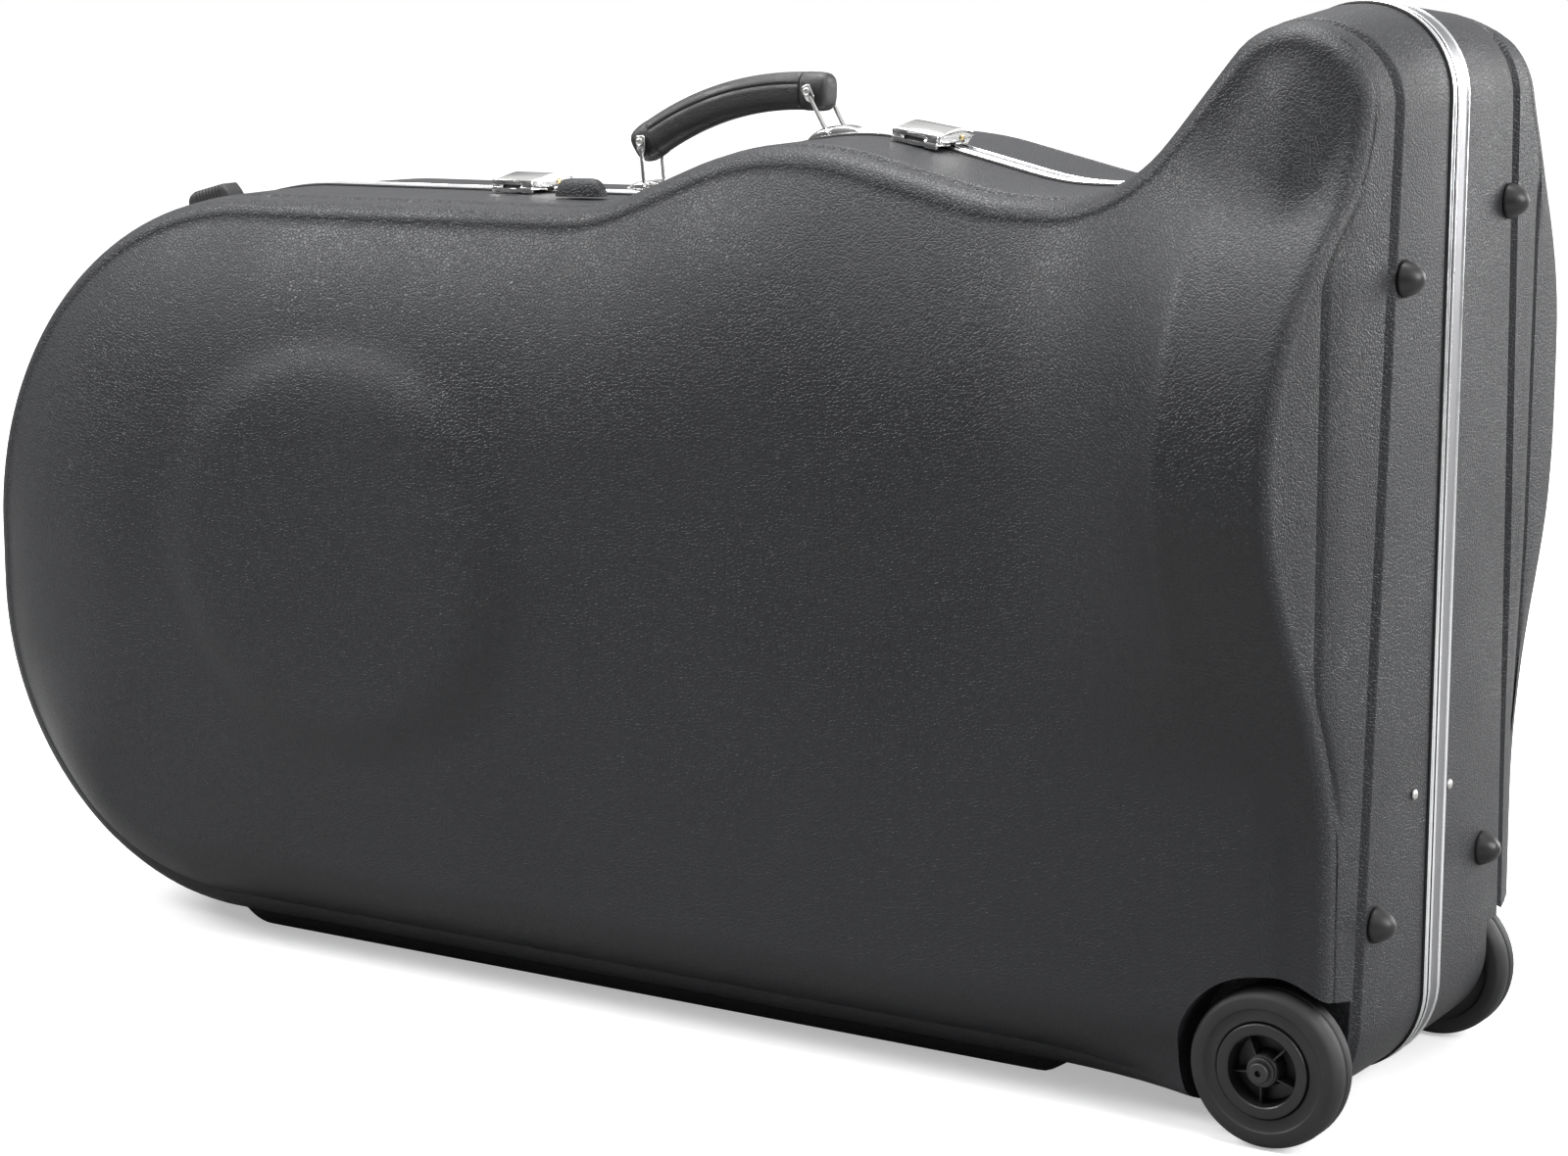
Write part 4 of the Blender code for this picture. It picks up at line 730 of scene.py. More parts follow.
def drum(radius, low, high, x, z, steps=96):
    """A cylinder along Y."""
    bpy.ops.object.select_all(action="DESELECT")
    bpy.ops.mesh.primitive_cylinder_add(vertices=steps, radius=radius, depth=abs(high - low),
                                        location=(x, (low + high) / 2, z), rotation=(math.pi / 2, 0, 0))
    obj = bpy.context.object
    settle(obj)
    return obj


def make_shell(name, half, body):
    outer = skin_object(name + "_outer", half, 0, 0.0025)
    inner = skin_object(name + "_inner", half, WALL, -0.01)
    for obj, extra in ((outer, 0), (inner, WALL)):
        cut(obj, drum(0.0585 + extra, half.side * (0.107 - extra), half.side * 0.26, WHEEL_X, WHEEL_Z),
            "DIFFERENCE", "MANIFOLD")
    cut(outer, inner, "DIFFERENCE", "MANIFOLD")
    bore = drum(0.0043, half.side * 0.09, half.side * 0.12, WHEEL_X, WHEEL_Z, 32)
    cut(outer, bore, "DIFFERENCE", "MANIFOLD")
    finish_piece(outer, name + "_visual", plastic.mat, body, [name], 32)
    print(name, "faces:", len(outer.data.polygons))
    return outer


near_shell = make_shell("near_shell", near_half, "lid")
far_shell = make_shell("far_shell", far_half, "body")

# %% [markdown]
# ## The edge frames
#
# Two aluminium extrusions are bent round the rims. The far one is a shallow channel between two raised
# beads, and carries the bead that stands at the parting line. The near one is a narrow rounded lip. The gap
# between them is painted near black as painted shade. A section swept round the outline follows its bends
# exactly. Each frame is made of two lengths, so the ring is bisected where they butt, under the handle and at the
# bottom.


# %% Sweeping a section round the outline
def sweep(name, section, side):
    """Section points are (outward, depth), swept round the dense outline into a closed ring."""
    points, faces, count = [], [], len(section)
    for point, normal in zip(ring_points, ring_normals):
        points += [(point[0] + normal[0] * o, side * d, point[1] + normal[1] * o) for o, d in section]
    for i in range(COUNT):
        a, b = i * count, ((i + 1) % COUNT) * count
        faces += [(a + k, a + (k + 1) % count, b + (k + 1) % count, b + k) for k in range(count)]
    mesh = bpy.data.meshes.new(name)
    mesh.from_pydata([tuple(map(float, p)) for p in points], [], faces)
    obj = bpy.data.objects.new(name, mesh)
    bpy.context.scene.collection.objects.link(obj)
    point_out(obj)
    return obj


def bead(out, depth, high, half_width, count=6):
    """Half-round bead on a section, from one foot to the other."""
    turns = [math.pi * k / count for k in range(count + 1)]
    return [(out + high * math.sin(t), depth + half_width * math.cos(t)) for t in turns]


leg = WALL + 0.0024
slot_out = WALL + 0.0004
near_section = [(0.0004, 0.0080)] + bead(0.0006, 0.0062, 0.0009, 0.0014)
near_section += [(0.0004, 0.0040)] + bead(0.0006, 0.0021, 0.0010, 0.0012) + [(0.0004, 0.0005)]
near_section += [(-leg, 0.0005), (-leg, 0.012), (-slot_out, 0.012), (-slot_out, 0.0022), (0.0002, 0.0022),
                 (0.0002, 0.0080)]
tongue = leg + 0.0003
far_section = [(0.0003, 0.0200)] + bead(0.0007, 0.0189, 0.0010, 0.0010)
far_section += [(0.0006, 0.0174), (0.0007, 0.0060), (0.0010, 0.0038)] + bead(0.0009, 0.0019, 0.0012, 0.0014)
far_section += [(0.0004, 0.0003), (-tongue, 0.0001), (-tongue, -0.0028), (-tongue - 0.0012, -0.0028),
                (-tongue - 0.0012, 0.012), (-slot_out, 0.012), (-slot_out, 0.0023), (0.0002, 0.0023)]
joint = END_X - 0.5985
for side, body, section, sign in (("near", "lid", near_section, -1), ("far", "body", far_section, 1)):
    for where, keep in (("front", 1), ("rear", -1)):
        node = side + "_valance_" + where
        piece = sweep(node, section, sign)
        edit(piece)
        bpy.ops.mesh.select_all(action="SELECT")
        bpy.ops.mesh.bisect(plane_co=(joint + keep * 0.00015, 0, 0), plane_no=(keep, 0, 0), use_fill=True,
                            clear_inner=True)
        leave_edit()
        finish_piece(piece, node + "_visual", aluminium, body, [node], 30)
        # Painted shade: the far frame's recessed channel takes the darker satin, and the parting gap and the grooves
        # between the beads take near black.
        for finish in (channel, shadow):
            piece.data.materials.append(finish)
        for face in piece.data.polygons:
            depth = abs(face.center.y)
            if side == "far" and 0.0080 < depth < 0.0172:
                face.material_index = 1
            if depth < 0.0008 or (side == "near" and (0.0034 < depth < 0.0048 or depth > 0.0066)):
                face.material_index = 2
        print(node, len(piece.data.polygons), "faces")
# %% [markdown]
# ## The plush lining
#
# Each half is filled with foam blocks under short black plush, hollowed for the instrument. The CAD solid
# has the room and the walls in their true places. A copy is remeshed into small even faces and relaxed, so
# that its edges turn as softly as foam under cloth, and it shrinks a little. Where the finer shell lies deeper
# than the CAD one, the foam is pressed back under it.


# %% Foam and plush
def make_lining(name, body, half):
    soft = nodes[name].copy()
    soft.data = nodes[name].data.copy()
    bpy.context.scene.collection.objects.link(soft)
    soft.parent = None
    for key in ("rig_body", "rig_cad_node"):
        del soft[key]
    edit(soft)
    bpy.ops.mesh.select_all(action="SELECT")
    bpy.ops.mesh.remove_doubles(threshold=0.00001)
    leave_edit()
    remesh = soft.modifiers.new("even", "REMESH")
    remesh.mode, remesh.voxel_size, remesh.use_smooth_shade = "VOXEL", 0.0038, True
    relax = soft.modifiers.new("relax", "SMOOTH")
    relax.factor, relax.iterations = 0.5, 4
    shrink = soft.modifiers.new("shrink", "DISPLACE")
    shrink.strength, shrink.mid_level = -0.0009, 0.0
    finish_piece(soft, name + "_visual", plush.mat, body, [name], 60)
    verts = soft.data.vertices
    flat = np.array([(vert.co.x, vert.co.z) for vert in verts])
    tall = np.abs([vert.co.y for vert in verts])
    close = np.nonzero(tall > half.face(flat) - 0.014)[0]
    for index, most in zip(close, half.under(flat[close], WALL + 0.0008)):
        if tall[index] > most:
            verts[int(index)].co.y = half.side * float(max(most, 0.02))
    return len(soft.data.polygons)


foam_blocks = ("bell", "middle", "tail_upper", "tail_lower")
foam_faces = [make_lining(side + "_lining_" + where, body, half)
              for side, body, half in (("near", "lid", near_half), ("far", "body", far_half))
              for where in foam_blocks]
print("foam blocks:", foam_faces, "faces")

# %% [markdown]
# ## The wheels
#
# A rubber tyre with a step on its side and two ribs round its tread sits on a dished hub with five thin
# spokes. Everything is turned but the spokes, which are thin plates, bevelled, copied round and joined.
# They are modelled once and mirrored for the far wheel.

# %% Tyre
rib = [(0.0500, 0.0024), (0.0496, 0.0012), (0.0490, 0.0007), (0.0490, -0.0007), (0.0496, -0.0012),
       (0.0500, -0.0024)]
side_in = [(0.0303, 0.0115), (0.0307, 0.0126), (0.0316, 0.0130), (0.0326, 0.0127), (0.0376, 0.0129),
           (0.0384, 0.0132), (0.0390, 0.0138), (0.0400, 0.0140), (0.0452, 0.0134), (0.0460, 0.0131),
           (0.0478, 0.0117), (0.0490, 0.0098), (0.0497, 0.0074), (0.0500, 0.0052)]
tyre_profile = side_in + rib + [(r, -h) for r, h in reversed(side_in)]
near_tyre = stand(turned(tyre_profile, 128, True), (WHEEL_X, -0.135, WHEEL_Z), "-Y")
print("tyre profile:", len(tyre_profile), "points")

# %% [markdown]
# The hub's spokes stand a little back from its rim. The wheel came to rest with one pointing nearly down.

# %% Hub and spokes
outer_face = arc((0.0285, 0.0135), 0.0013, 0, 90, 4) + [(0.0240, 0.0148), (0.0232, 0.0146), (0.0224, 0.0138)]
dish = [(0.0218, 0.0095), (0.0214, 0.0012), (0.0206, 0.0003), (0.0120, 0.0003), (0.0112, 0.0010)]
boss = [(0.0104, 0.0125), (0.0098, 0.0135), (0.0092, 0.0138), (0.0044, 0.0138), (0.0044, -0.0138)]
back = [(0.0095, -0.0138), (0.0110, -0.0045), (0.0215, -0.0045), (0.0235, -0.0128), (0.0288, -0.0128),
        (0.0298, -0.0118)]
hub = turned([(0.0298, 0.0)] + outer_face + dish + boss + back, 112, True)
spokes = []
for k in range(5):
    bpy.ops.object.select_all(action="DESELECT")
    bpy.ops.mesh.primitive_cube_add(size=1, location=(0.0161, 0, 0.0062), scale=(0.0128, 0.0013, 0.0116))
    spoke = bpy.context.object
    settle(spoke)
    edit(spoke)
    bpy.ops.mesh.select_all(action="SELECT")
    bpy.ops.mesh.bevel(offset=0.0003, segments=2, affect="EDGES")
    leave_edit()
    outer_end = [v for v in spoke.data.vertices if v.co.x > 0.016 and v.co.z > 0.006]
    for v in outer_end:
        v.co.z -= 0.0032
    spoke.data.transform(Matrix.Rotation(math.radians(48 + 72 * k), 4, "Z"))
    spokes.append(spoke)
hub = joined(spokes + [hub])
near_hub = stand(hub, (WHEEL_X, -0.135, WHEEL_Z), "-Y")
far_tyre, far_hub = mirrored(near_tyre), mirrored(near_hub)
for tyre, side, body in ((near_tyre, "near", "near_wheel"), (far_tyre, "far", "far_wheel")):
    finish_piece(tyre, side + "_tyre_visual", rubber.mat, body, [side + "_tyre"], 30)
for piece, side, body in ((near_hub, "near", "near_wheel"), (far_hub, "far", "far_wheel")):
    finish_piece(piece, side + "_hub_visual", hub_plastic.mat, body, [side + "_hub"], 30)
print("wheels:", len(near_tyre.data.polygons), "and", len(near_hub.data.polygons), "faces")

# %% [markdown]
# The axle is a flanged bolt with a hexagon socket. The spacer behind the wheel and the washer under the
# head are turned. The socket is a six-sided cylinder cut from the head.

# %% Axle bolt, washer and spacer
head = arc((0.0053, 0.0494), 0.0012, 0, 90, 4)
bolt_profile = [(0.0002, -0.0045), (0.0070, -0.0045), (0.0075, -0.0040), (0.0075, -0.0003), (0.0040, -0.0003),
                (0.0040, 0.0476), (0.0064, 0.0476), (0.0065, 0.0480)] + head + [(0.0002, 0.0506)]
bolt = turned(bolt_profile, 48)
bpy.ops.object.select_all(action="DESELECT")
bpy.ops.mesh.primitive_cylinder_add(vertices=6, radius=0.0023, depth=0.006, location=(0, 0, 0.0504))
cut(bolt, bpy.context.object)
bolt = stand(bolt, (WHEEL_X, -0.1037, WHEEL_Z), "-Y")
washer_profile = [(0.0043, 0.0), (0.0088, 0.0), (0.0090, 0.0003), (0.0089, 0.0011), (0.0084, 0.0014), (0.0043, 0.0014)]
washer = stand(turned(washer_profile, 64, True), (WHEEL_X, -0.1495, WHEEL_Z), "-Y")
plate_profile = [(0.0043, 0.0), (0.0178, 0.0), (0.0180, 0.0004), (0.0180, 0.0026), (0.0174, 0.0030), (0.0096, 0.0030),
                 (0.0090, 0.0040), (0.0090, 0.0130), (0.0043, 0.0130)]
plate = stand(turned(plate_profile, 64, True), (WHEEL_X, -0.1073, WHEEL_Z), "-Y")
for piece, node, finish in ((bolt, "axle_bolt", dark_zinc), (washer, "washer", dark_zinc), (plate, "axle_plate", zinc)):
    twin = mirrored(piece)
    finish_piece(piece, "near_" + node + "_visual", finish, "lid", ["near_" + node], 30)
    finish_piece(twin, "far_" + node + "_visual", finish, "body", ["far_" + node], 30)
print("axle pieces made for both wheels")

# %% [markdown]
# ## Feet on the bell end
#
# Four domed plastic feet let the case stand on its bell end. Each is a blunt cone with a round nose and a
# small flare where it meets the shell. The two rivets of the lid stay sit nearer the frame.

# %% Feet and stay rivets
dome = [(0.0090, 0.0066), (0.0074, 0.0092), (0.0054, 0.0112), (0.0030, 0.0126), (0.0008, 0.0131)]
foot_profile = [(0.0003, 0.0), (0.0113, 0.0), (0.0115, 0.0006), (0.0110, 0.0020), (0.0102, 0.0040)]
foot = turned(foot_profile + dome, 56)
spots = {"near_foot_upper": (-0.070, 0.526), "near_foot_lower": (-0.084, 0.133),
         "far_foot_upper": (0.098, 0.562), "far_foot_lower": (0.090, 0.143)}
for node, (y, z) in spots.items():
    piece = stand(copy_of(foot), (END_X - 0.0006, y, z), "X")
    finish_piece(piece, node + "_visual", hub_plastic.mat, "lid" if y < 0 else "body", [node], 40)
bpy.data.objects.remove(foot, do_unlink=True)
rivet_profile = [(0.0002, 0.0), (0.0034, 0.0), (0.0034, 0.0004)] + [(0.0034 * math.cos(math.radians(a)), 0.0004
                 + 0.0017 * math.sin(math.radians(a))) for a in (20, 40, 60, 80)] + [(0.0002, 0.0021)]
rivet = turned(rivet_profile, 40)
for node, y, z, body in (("near_stay_rivet", -0.030, 0.2035, "lid"), ("far_stay_rivet", 0.0275, 0.1985, "body")):
    piece = stand(copy_of(rivet), (END_X, y, z), "X")
    finish_piece(piece, node + "_visual", zinc, body, [node], 40)
bpy.data.objects.remove(rivet, do_unlink=True)
print("feet at", spots)

# %% [markdown]
# ## Seats along the top
#
# Latches, handle, guard and bumper all stand on the top edge. Each is modelled level at the origin, then
# turned to the slope of the edge there and moved to its seat.


# %% Seats
def seated(obj, seat, y=0.0):
    """Turns a piece modelled level at the origin onto the top edge. seat is (x, z, slope)."""
    x, z, slope = seat
    obj.rotation_euler = (0, -slope, 0)
    obj.location = (x, y, z)
    settle(obj)
    return obj


def strip(points, low, high, axis="X"):
    """A straight body: the outline's points are placed on a circle, filled, and extruded along an axis."""
    bpy.ops.object.select_all(action="DESELECT")
    bpy.ops.mesh.primitive_circle_add(vertices=len(points), radius=1, fill_type="NGON")
    obj = bpy.context.object
    for vert, (a, b) in zip(obj.data.vertices, points):
        vert.co = {"X": (low, a, b), "Y": (a, low, b), "Z": (a, b, low)}[axis]
    edit(obj)
    bpy.ops.mesh.select_all(action="SELECT")
    move = {"X": (high - low, 0, 0), "Y": (0, high - low, 0), "Z": (0, 0, high - low)}[axis]
    bpy.ops.mesh.extrude_region_move(TRANSFORM_OT_translate={"value": move})
    bpy.ops.mesh.select_all(action="SELECT")
    bpy.ops.mesh.normals_make_consistent(inside=False)
    leave_edit()
    return obj


def slab(low, high):
    return strip([(low[1], low[2]), (high[1], low[2]), (high[1], high[2]), (low[1], high[2])], low[0], high[0])


def rounded(obj, width, segments=3, angle=30):
    pick(obj)
    mod = obj.modifiers.new("round", "BEVEL")
    mod.width, mod.segments, mod.limit_method = width, segments, "ANGLE"
    mod.angle_limit = math.radians(angle)
    bpy.ops.object.modifier_apply(modifier=mod.name)
    return obj


latch_seats = {"latch_a": (-0.1344, 0.548319, math.radians(0.6957)), "latch_b": (0.1923, 0.591422, math.radians(-8.4038))}
print("seats ready")

# %% [markdown]
# ## Draw latches
#
# A draw latch has a catch plate on the lid and a lever on the body. The catch's front has a seam, a stamped
# oval dish and a slot, with a thin near black plate in the slot as painted shade. The lever is a pressed cover
# that rises to a ridge and is open underneath, with a brass rivet in each cheek. Pressed steel has small radii
# at all its folds, so each is bevelled.

# %% Catch and lever
half_width, front = 0.017, -0.028


def make_catch(prefix):
    feet = [(-0.017, 0.0003), (-0.0125, 0.0003), (-0.0120, 0.0010), (-0.0035, 0.0010), (-0.0030, 0.0006),
            (0.0050, 0.0006), (0.0055, 0.0010), (0.0085, 0.0010), (0.0090, 0.0003), (0.017, 0.0003)]
    lower = strip(feet + [(0.017, 0.0044), (-0.017, 0.0044)], front, front + 0.0033, "Y")
    upper = strip([(-0.017, 0.0044), (0.017, 0.0044), (0.017, 0.0094), (-0.017, 0.0094)], front, front + 0.0033, "Y")
    for part in (lower, upper):
        rounded(part, 0.0004, 2)
    backing = rounded(slab((-0.0166, front + 0.0006, 0.0020), (0.0166, front + 0.0028, 0.0088)), 0.0003, 2)
    foot = rounded(slab((-0.017, front + 0.0012, 0.0020), (0.017, -0.0085, 0.0034)), 0.0004, 2)
    catch = lower
    for part in (upper, backing, foot):
        cut(catch, part, "UNION")
    bpy.ops.object.select_all(action="DESELECT")
    bpy.ops.mesh.primitive_uv_sphere_add(segments=48, ring_count=24, radius=1, location=(0, front - 0.0008, 0.0061),
                                         scale=(0.0115, 0.0022, 0.0030))
    bowl = bpy.context.object
    settle(bowl)
    cut(catch, bowl)
    slot = strip([(-0.0078, 0.0036), (0.0078, 0.0036), (0.0078, 0.0056), (0.0068, 0.0062), (-0.0068, 0.0062),
                  (-0.0078, 0.0056)], front - 0.004, front + 0.0022, "Y")
    cut(catch, slot)
    seated(catch, latch_seats[prefix])
    finish_piece(catch, prefix + "_catch_visual", chrome, "lid", [prefix + "_catch"], 30)
    # Painted shade: a thin near black plate inside the slot darkens it.
    slot_shade_plate = slab((-0.0077, front + 0.0019, 0.0037), (0.0077, front + 0.00215, 0.0060))
    seated(slot_shade_plate, latch_seats[prefix])
    finish_piece(slot_shade_plate, prefix + "_painted_slot_shade_visual", hub_plastic.mat, "lid")


def make_lever(prefix):
    start = front + 0.0036
    top = [(start, 0.0042), (start, 0.0090), (-0.0238, 0.0096), (-0.0120, 0.0118), (-0.0040, 0.0131), (-0.0012, 0.0134),
           (0.0012, 0.0134), (0.0040, 0.0132), (0.0120, 0.0122), (0.0195, 0.0112), (0.0222, 0.0104), (0.0228, 0.0098)]
    low = [(0.0228, 0.0073), (0.0216, 0.0070), (0.0150, 0.0060), (0.0060, 0.0048), (-0.0040, 0.0040),
           (-0.0120, 0.0036), (-0.0200, 0.0038)]
    lever = rounded(strip(top + low, -half_width, half_width), 0.0011, 4, 40)
    room = [(start - 0.002, 0.0), (start - 0.002, 0.0082), (-0.012, 0.0106), (-0.001, 0.0122), (0.004, 0.0120),
            (0.019, 0.0100), (0.0216, 0.0090), (0.0216, 0.0)]
    cut(lever, strip(room, -half_width + 0.0012, half_width - 0.0012))
    seated(lever, latch_seats[prefix])
    finish_piece(lever, prefix + "_lever_visual", chrome, prefix, [prefix + "_lever"], 32)
    heads = []
    for sign in (-1, 1):
        button = turned([(0.0002, 0.0), (0.0023, 0.0), (0.0023, 0.0004), (0.0019, 0.0008), (0.0012, 0.0010),
                         (0.0010, 0.0007), (0.0002, 0.0007)], 32)
        button.rotation_euler = (0, sign * math.pi / 2, 0)
        button.location = (sign * (half_width + 0.0001), 0.0056, 0.0070)
        settle(button)
        heads.append(button)
    bpy.ops.object.select_all(action="DESELECT")
    bpy.ops.mesh.primitive_cylinder_add(vertices=24, radius=0.0011, depth=0.0342, location=(0, 0.0056, 0.0070),
                                        rotation=(0, math.pi / 2, 0))
    shank = bpy.context.object
    settle(shank)
    rivet_pair = seated(joined(heads + [shank]), latch_seats[prefix])
    finish_piece(rivet_pair, prefix + "_rivet_visual", brass, prefix, [prefix + "_rivet"], 30)


for prefix in latch_seats:
    make_catch(prefix)
    make_lever(prefix)
print("latches made")

# %% [markdown]
# ## Lofted pads
#
# Grip, bumper and guard are soft moulded forms without one straight outline. They are lofted: closed cross
# sections are set along a path, joined ring to ring, and the two ends are capped.


# %% Lofting rings
def loft(name, rings):
    points = [tuple(map(float, p)) for ring in rings for p in ring]
    count = len(rings[0])
    faces = [tuple(range(count)), tuple(range(len(points) - count, len(points)))]
    for row in range(len(rings) - 1):
        a, b = row * count, (row + 1) * count
        faces += [(a + i, a + (i + 1) % count, b + (i + 1) % count, b + i) for i in range(count)]
    mesh = bpy.data.meshes.new(name)
    mesh.from_pydata(points, [], faces)
    obj = bpy.data.objects.new(name, mesh)
    bpy.context.scene.collection.objects.link(obj)
    point_out(obj)
    return obj


def super_ring(width, height, power, count=48):
    """Rounded rectangle of half sizes width and height. A higher power makes it squarer."""
    turns = [2 * math.pi * k / count for k in range(count)]
    return [(width * math.copysign(abs(math.cos(t)) ** (2 / power), math.cos(t)),
             height * math.copysign(abs(math.sin(t)) ** (2 / power), math.sin(t))) for t in turns]


print("lofting ready")

# %% [markdown]
# ## The handle
#
# The grip is a leather covered pad arched between two wire bails. A stitched groove runs along each side. At
# the left the cover ends in a folded boot, at the right in a separate rounded cap. Each bail is 3 mm wire
# bent to a U, its bar held under an arched plate, with a flat eye plate riveted at the top.

# %% Points of the handle
feet_at = {"left": Vector((-0.043505, 0.554873)), "right": Vector((0.105904, 0.596641))}
heads_at = {"left": Vector((-0.046428, 0.585233)), "right": Vector((0.090654, 0.623055))}
slopes = {"left": math.radians(1.277), "right": math.radians(10.992)}
HANDLE_Y, SPREAD = 0.0175, 0.0125
start, stop = heads_at["left"], heads_at["right"]
span = (stop - start).length
along = (stop - start).normalized()
up = Vector((-along.y, along.x))


def grip_station(s):
    """Middle, upward and forward direction of the grip at a distance from the left pin."""
    t = min(max(s / span, 0.0), 1.0)
    slope = 0.011 * 4 * (1 - 2 * t) / span
    way = (along + up * slope).normalized()
    middle = start + along * (t * span) + up * (0.011 * 4 * t * (1 - t))
    if not 0 <= s <= span:
        middle = (start if s < 0 else stop) + way * (s - (0 if s < 0 else span))
    return middle, (up - along * slope).normalized(), way


def pad_rings(stops):
    """Rings of the grip. Each stop is (distance, share of the height, share of the width, groove depth)."""
    rings = []
    for s, tall, wide, groove in stops:
        middle, lift, _ = grip_station(s)
        ring = []
        for a, b in super_ring(0.0105 * wide, 0.01325 * tall, 3.0, 96):
            b = b + 0.0006 * tall * (1 - (a / 0.0105) ** 2) * (1 if b > 0 else 0) - 0.0006 * tall * (b > 0)
            dip = groove * math.exp(-((b / (0.01325 * tall) - 0.36) / 0.075) ** 2)
            a -= math.copysign(dip, a) if abs(a) > 0.004 else 0
            ring.append((middle.x + lift.x * b, HANDLE_Y + a, middle.y + lift.y * b))
        rings.append(ring)
    return rings


print("grip span:", round(span, 4))

# %% Grip, boot and cap
main = [(0.0060, 0.90, 0.90, 0), (0.0066, 0.955, 0.955, 0), (0.0078, 0.97, 0.97, 0.0003), (0.0092, 0.975, 0.975, 0.0009)]
main += [(0.0092 + (span - 0.0192) * k / 40, 0.975, 0.975, 0.0009) for k in range(1, 40)]
main += [(span - 0.0100, 0.975, 0.975, 0.0009), (span - 0.0094, 0.97, 0.97, 0.0003), (span - 0.0085, 0.93, 0.93, 0),
         (span - 0.0082, 0.86, 0.86, 0)]
pad = loft("pad", pad_rings(main))
boot = [(-0.0105, 0.40, 0.40, 0), (-0.0103, 0.60, 0.66, 0), (-0.0095, 0.76, 0.82, 0), (-0.0078, 0.88, 0.92, 0),
        (-0.0050, 0.96, 0.97, 0), (0.0, 1.0, 1.0, 0), (0.0050, 1.0, 1.0, 0), (0.0066, 0.99, 0.99, 0),
        (0.0072, 0.96, 0.96, 0), (0.0072, 0.90, 0.90, 0)]
boot_piece = loft("boot", pad_rings(boot))
cap = [(span - 0.0080, 0.88, 0.88, 0), (span - 0.0079, 0.95, 0.95, 0), (span - 0.0072, 0.99, 0.99, 0),
       (span - 0.0050, 1.0, 1.0, 0), (span + 0.0020, 1.0, 1.0, 0), (span + 0.0060, 0.985, 0.985, 0),
       (span + 0.0085, 0.94, 0.94, 0), (span + 0.0102, 0.84, 0.86, 0), (span + 0.0112, 0.66, 0.70, 0),
       (span + 0.0115, 0.46, 0.50, 0)]
cap_piece = loft("cap", pad_rings(cap))
grip = joined([boot_piece, cap_piece, pad])
finish_piece(grip, "grip_visual", leather.mat, "handle", ["grip"], 50)
print("grip:", len(grip.data.polygons), "faces")

# %% [markdown]
# The wire is a curve with a round bevel, turned into a mesh. The eye plates are hexagonal, with rounded
# edges, and the pins have rolled ring heads.


# %% Bails, plates and pins
def make_bail(side, body):
    foot, head = feet_at[side], heads_at[side]
    way = (head - foot).normalized()
    across = Vector((-way.y, way.x))
    curve = bpy.data.curves.new("wire", "CURVE")
    curve.dimensions, curve.bevel_depth, curve.bevel_resolution = "3D", 0.0015, 5
    curve.use_fill_caps = True
    bend = 0.0032
    path_points = [(head - way * 0.0040, -SPREAD), (foot + way * bend, -SPREAD)]
    for k in range(1, 8):
        t = math.pi / 2 * k / 8
        path_points.append((foot + way * bend * (1 - math.sin(t)), -SPREAD + bend * (1 - math.cos(t))))
    path_points += [(foot, -SPREAD + bend)]
    path_points += [(point, -y) for point, y in reversed(path_points)]
    spline = curve.splines.new("POLY")
    spline.points.add(len(path_points) - 1)
    for point, (place, y) in zip(spline.points, path_points):
        point.co = (place.x, HANDLE_Y + y, place.y, 1)
    wire = bpy.data.objects.new("wire", curve)
    bpy.context.scene.collection.objects.link(wire)
    pick(wire)
    bpy.ops.object.convert(target="MESH")
    wire = bpy.context.object
    edit(wire)
    bpy.ops.mesh.select_all(action="SELECT")
    bpy.ops.mesh.remove_doubles(threshold=0.00001)
    bpy.ops.mesh.normals_make_consistent(inside=False)
    leave_edit()
    hexagon = [(0.0048, 0.0020), (0.0034, 0.0040), (-0.0052, 0.0034), (-0.0078, 0.0016), (-0.0078, -0.0016),
               (-0.0052, -0.0034), (0.0034, -0.0040), (0.0048, -0.0020)]
    parts = [wire]
    for sign in (-1, 1):
        outline = [head + way * a + across * b for a, b in hexagon]
        y = HANDLE_Y + sign * SPREAD
        parts.append(rounded(strip([(p.x, p.y) for p in outline], y - 0.0009, y + 0.0009, "Y"), 0.0005, 3))
    obj = joined(parts[1:] + [wire])
    finish_piece(obj, "bail_" + side + "_visual", chrome, body, ["bail_" + side], 40)


def make_plate(side):
    slope, foot = slopes[side], feet_at[side]
    rings = []
    for k in range(41):
        t = -1 + 2 * k / 40
        height = 0.0048 * (1 - min(t * t, 1)) ** 0.8 + 0.0012
        wide = 0.0095 * (1 - 0.35 * t * t)
        shape = [(-wide, 0.0), (-wide, height * 0.55), (-wide * 0.97, height * 0.74), (-wide * 0.88, height * 0.90),
                 (-wide * 0.74, height), (wide * 0.74, height), (wide * 0.88, height * 0.90),
                 (wide * 0.97, height * 0.74), (wide, height * 0.55), (wide, 0.0)]
        rings.append([(t * 0.019, y, z) for y, z in shape])
    obj = loft("plate", rings)
    seat = (foot.x + math.sin(slope) * 0.0026, foot.y - math.cos(slope) * 0.0026, slope)
    seated(obj, seat, HANDLE_Y)
    finish_piece(obj, "handle_base_" + side + "_visual", chrome, "body", ["handle_base_" + side], 40)


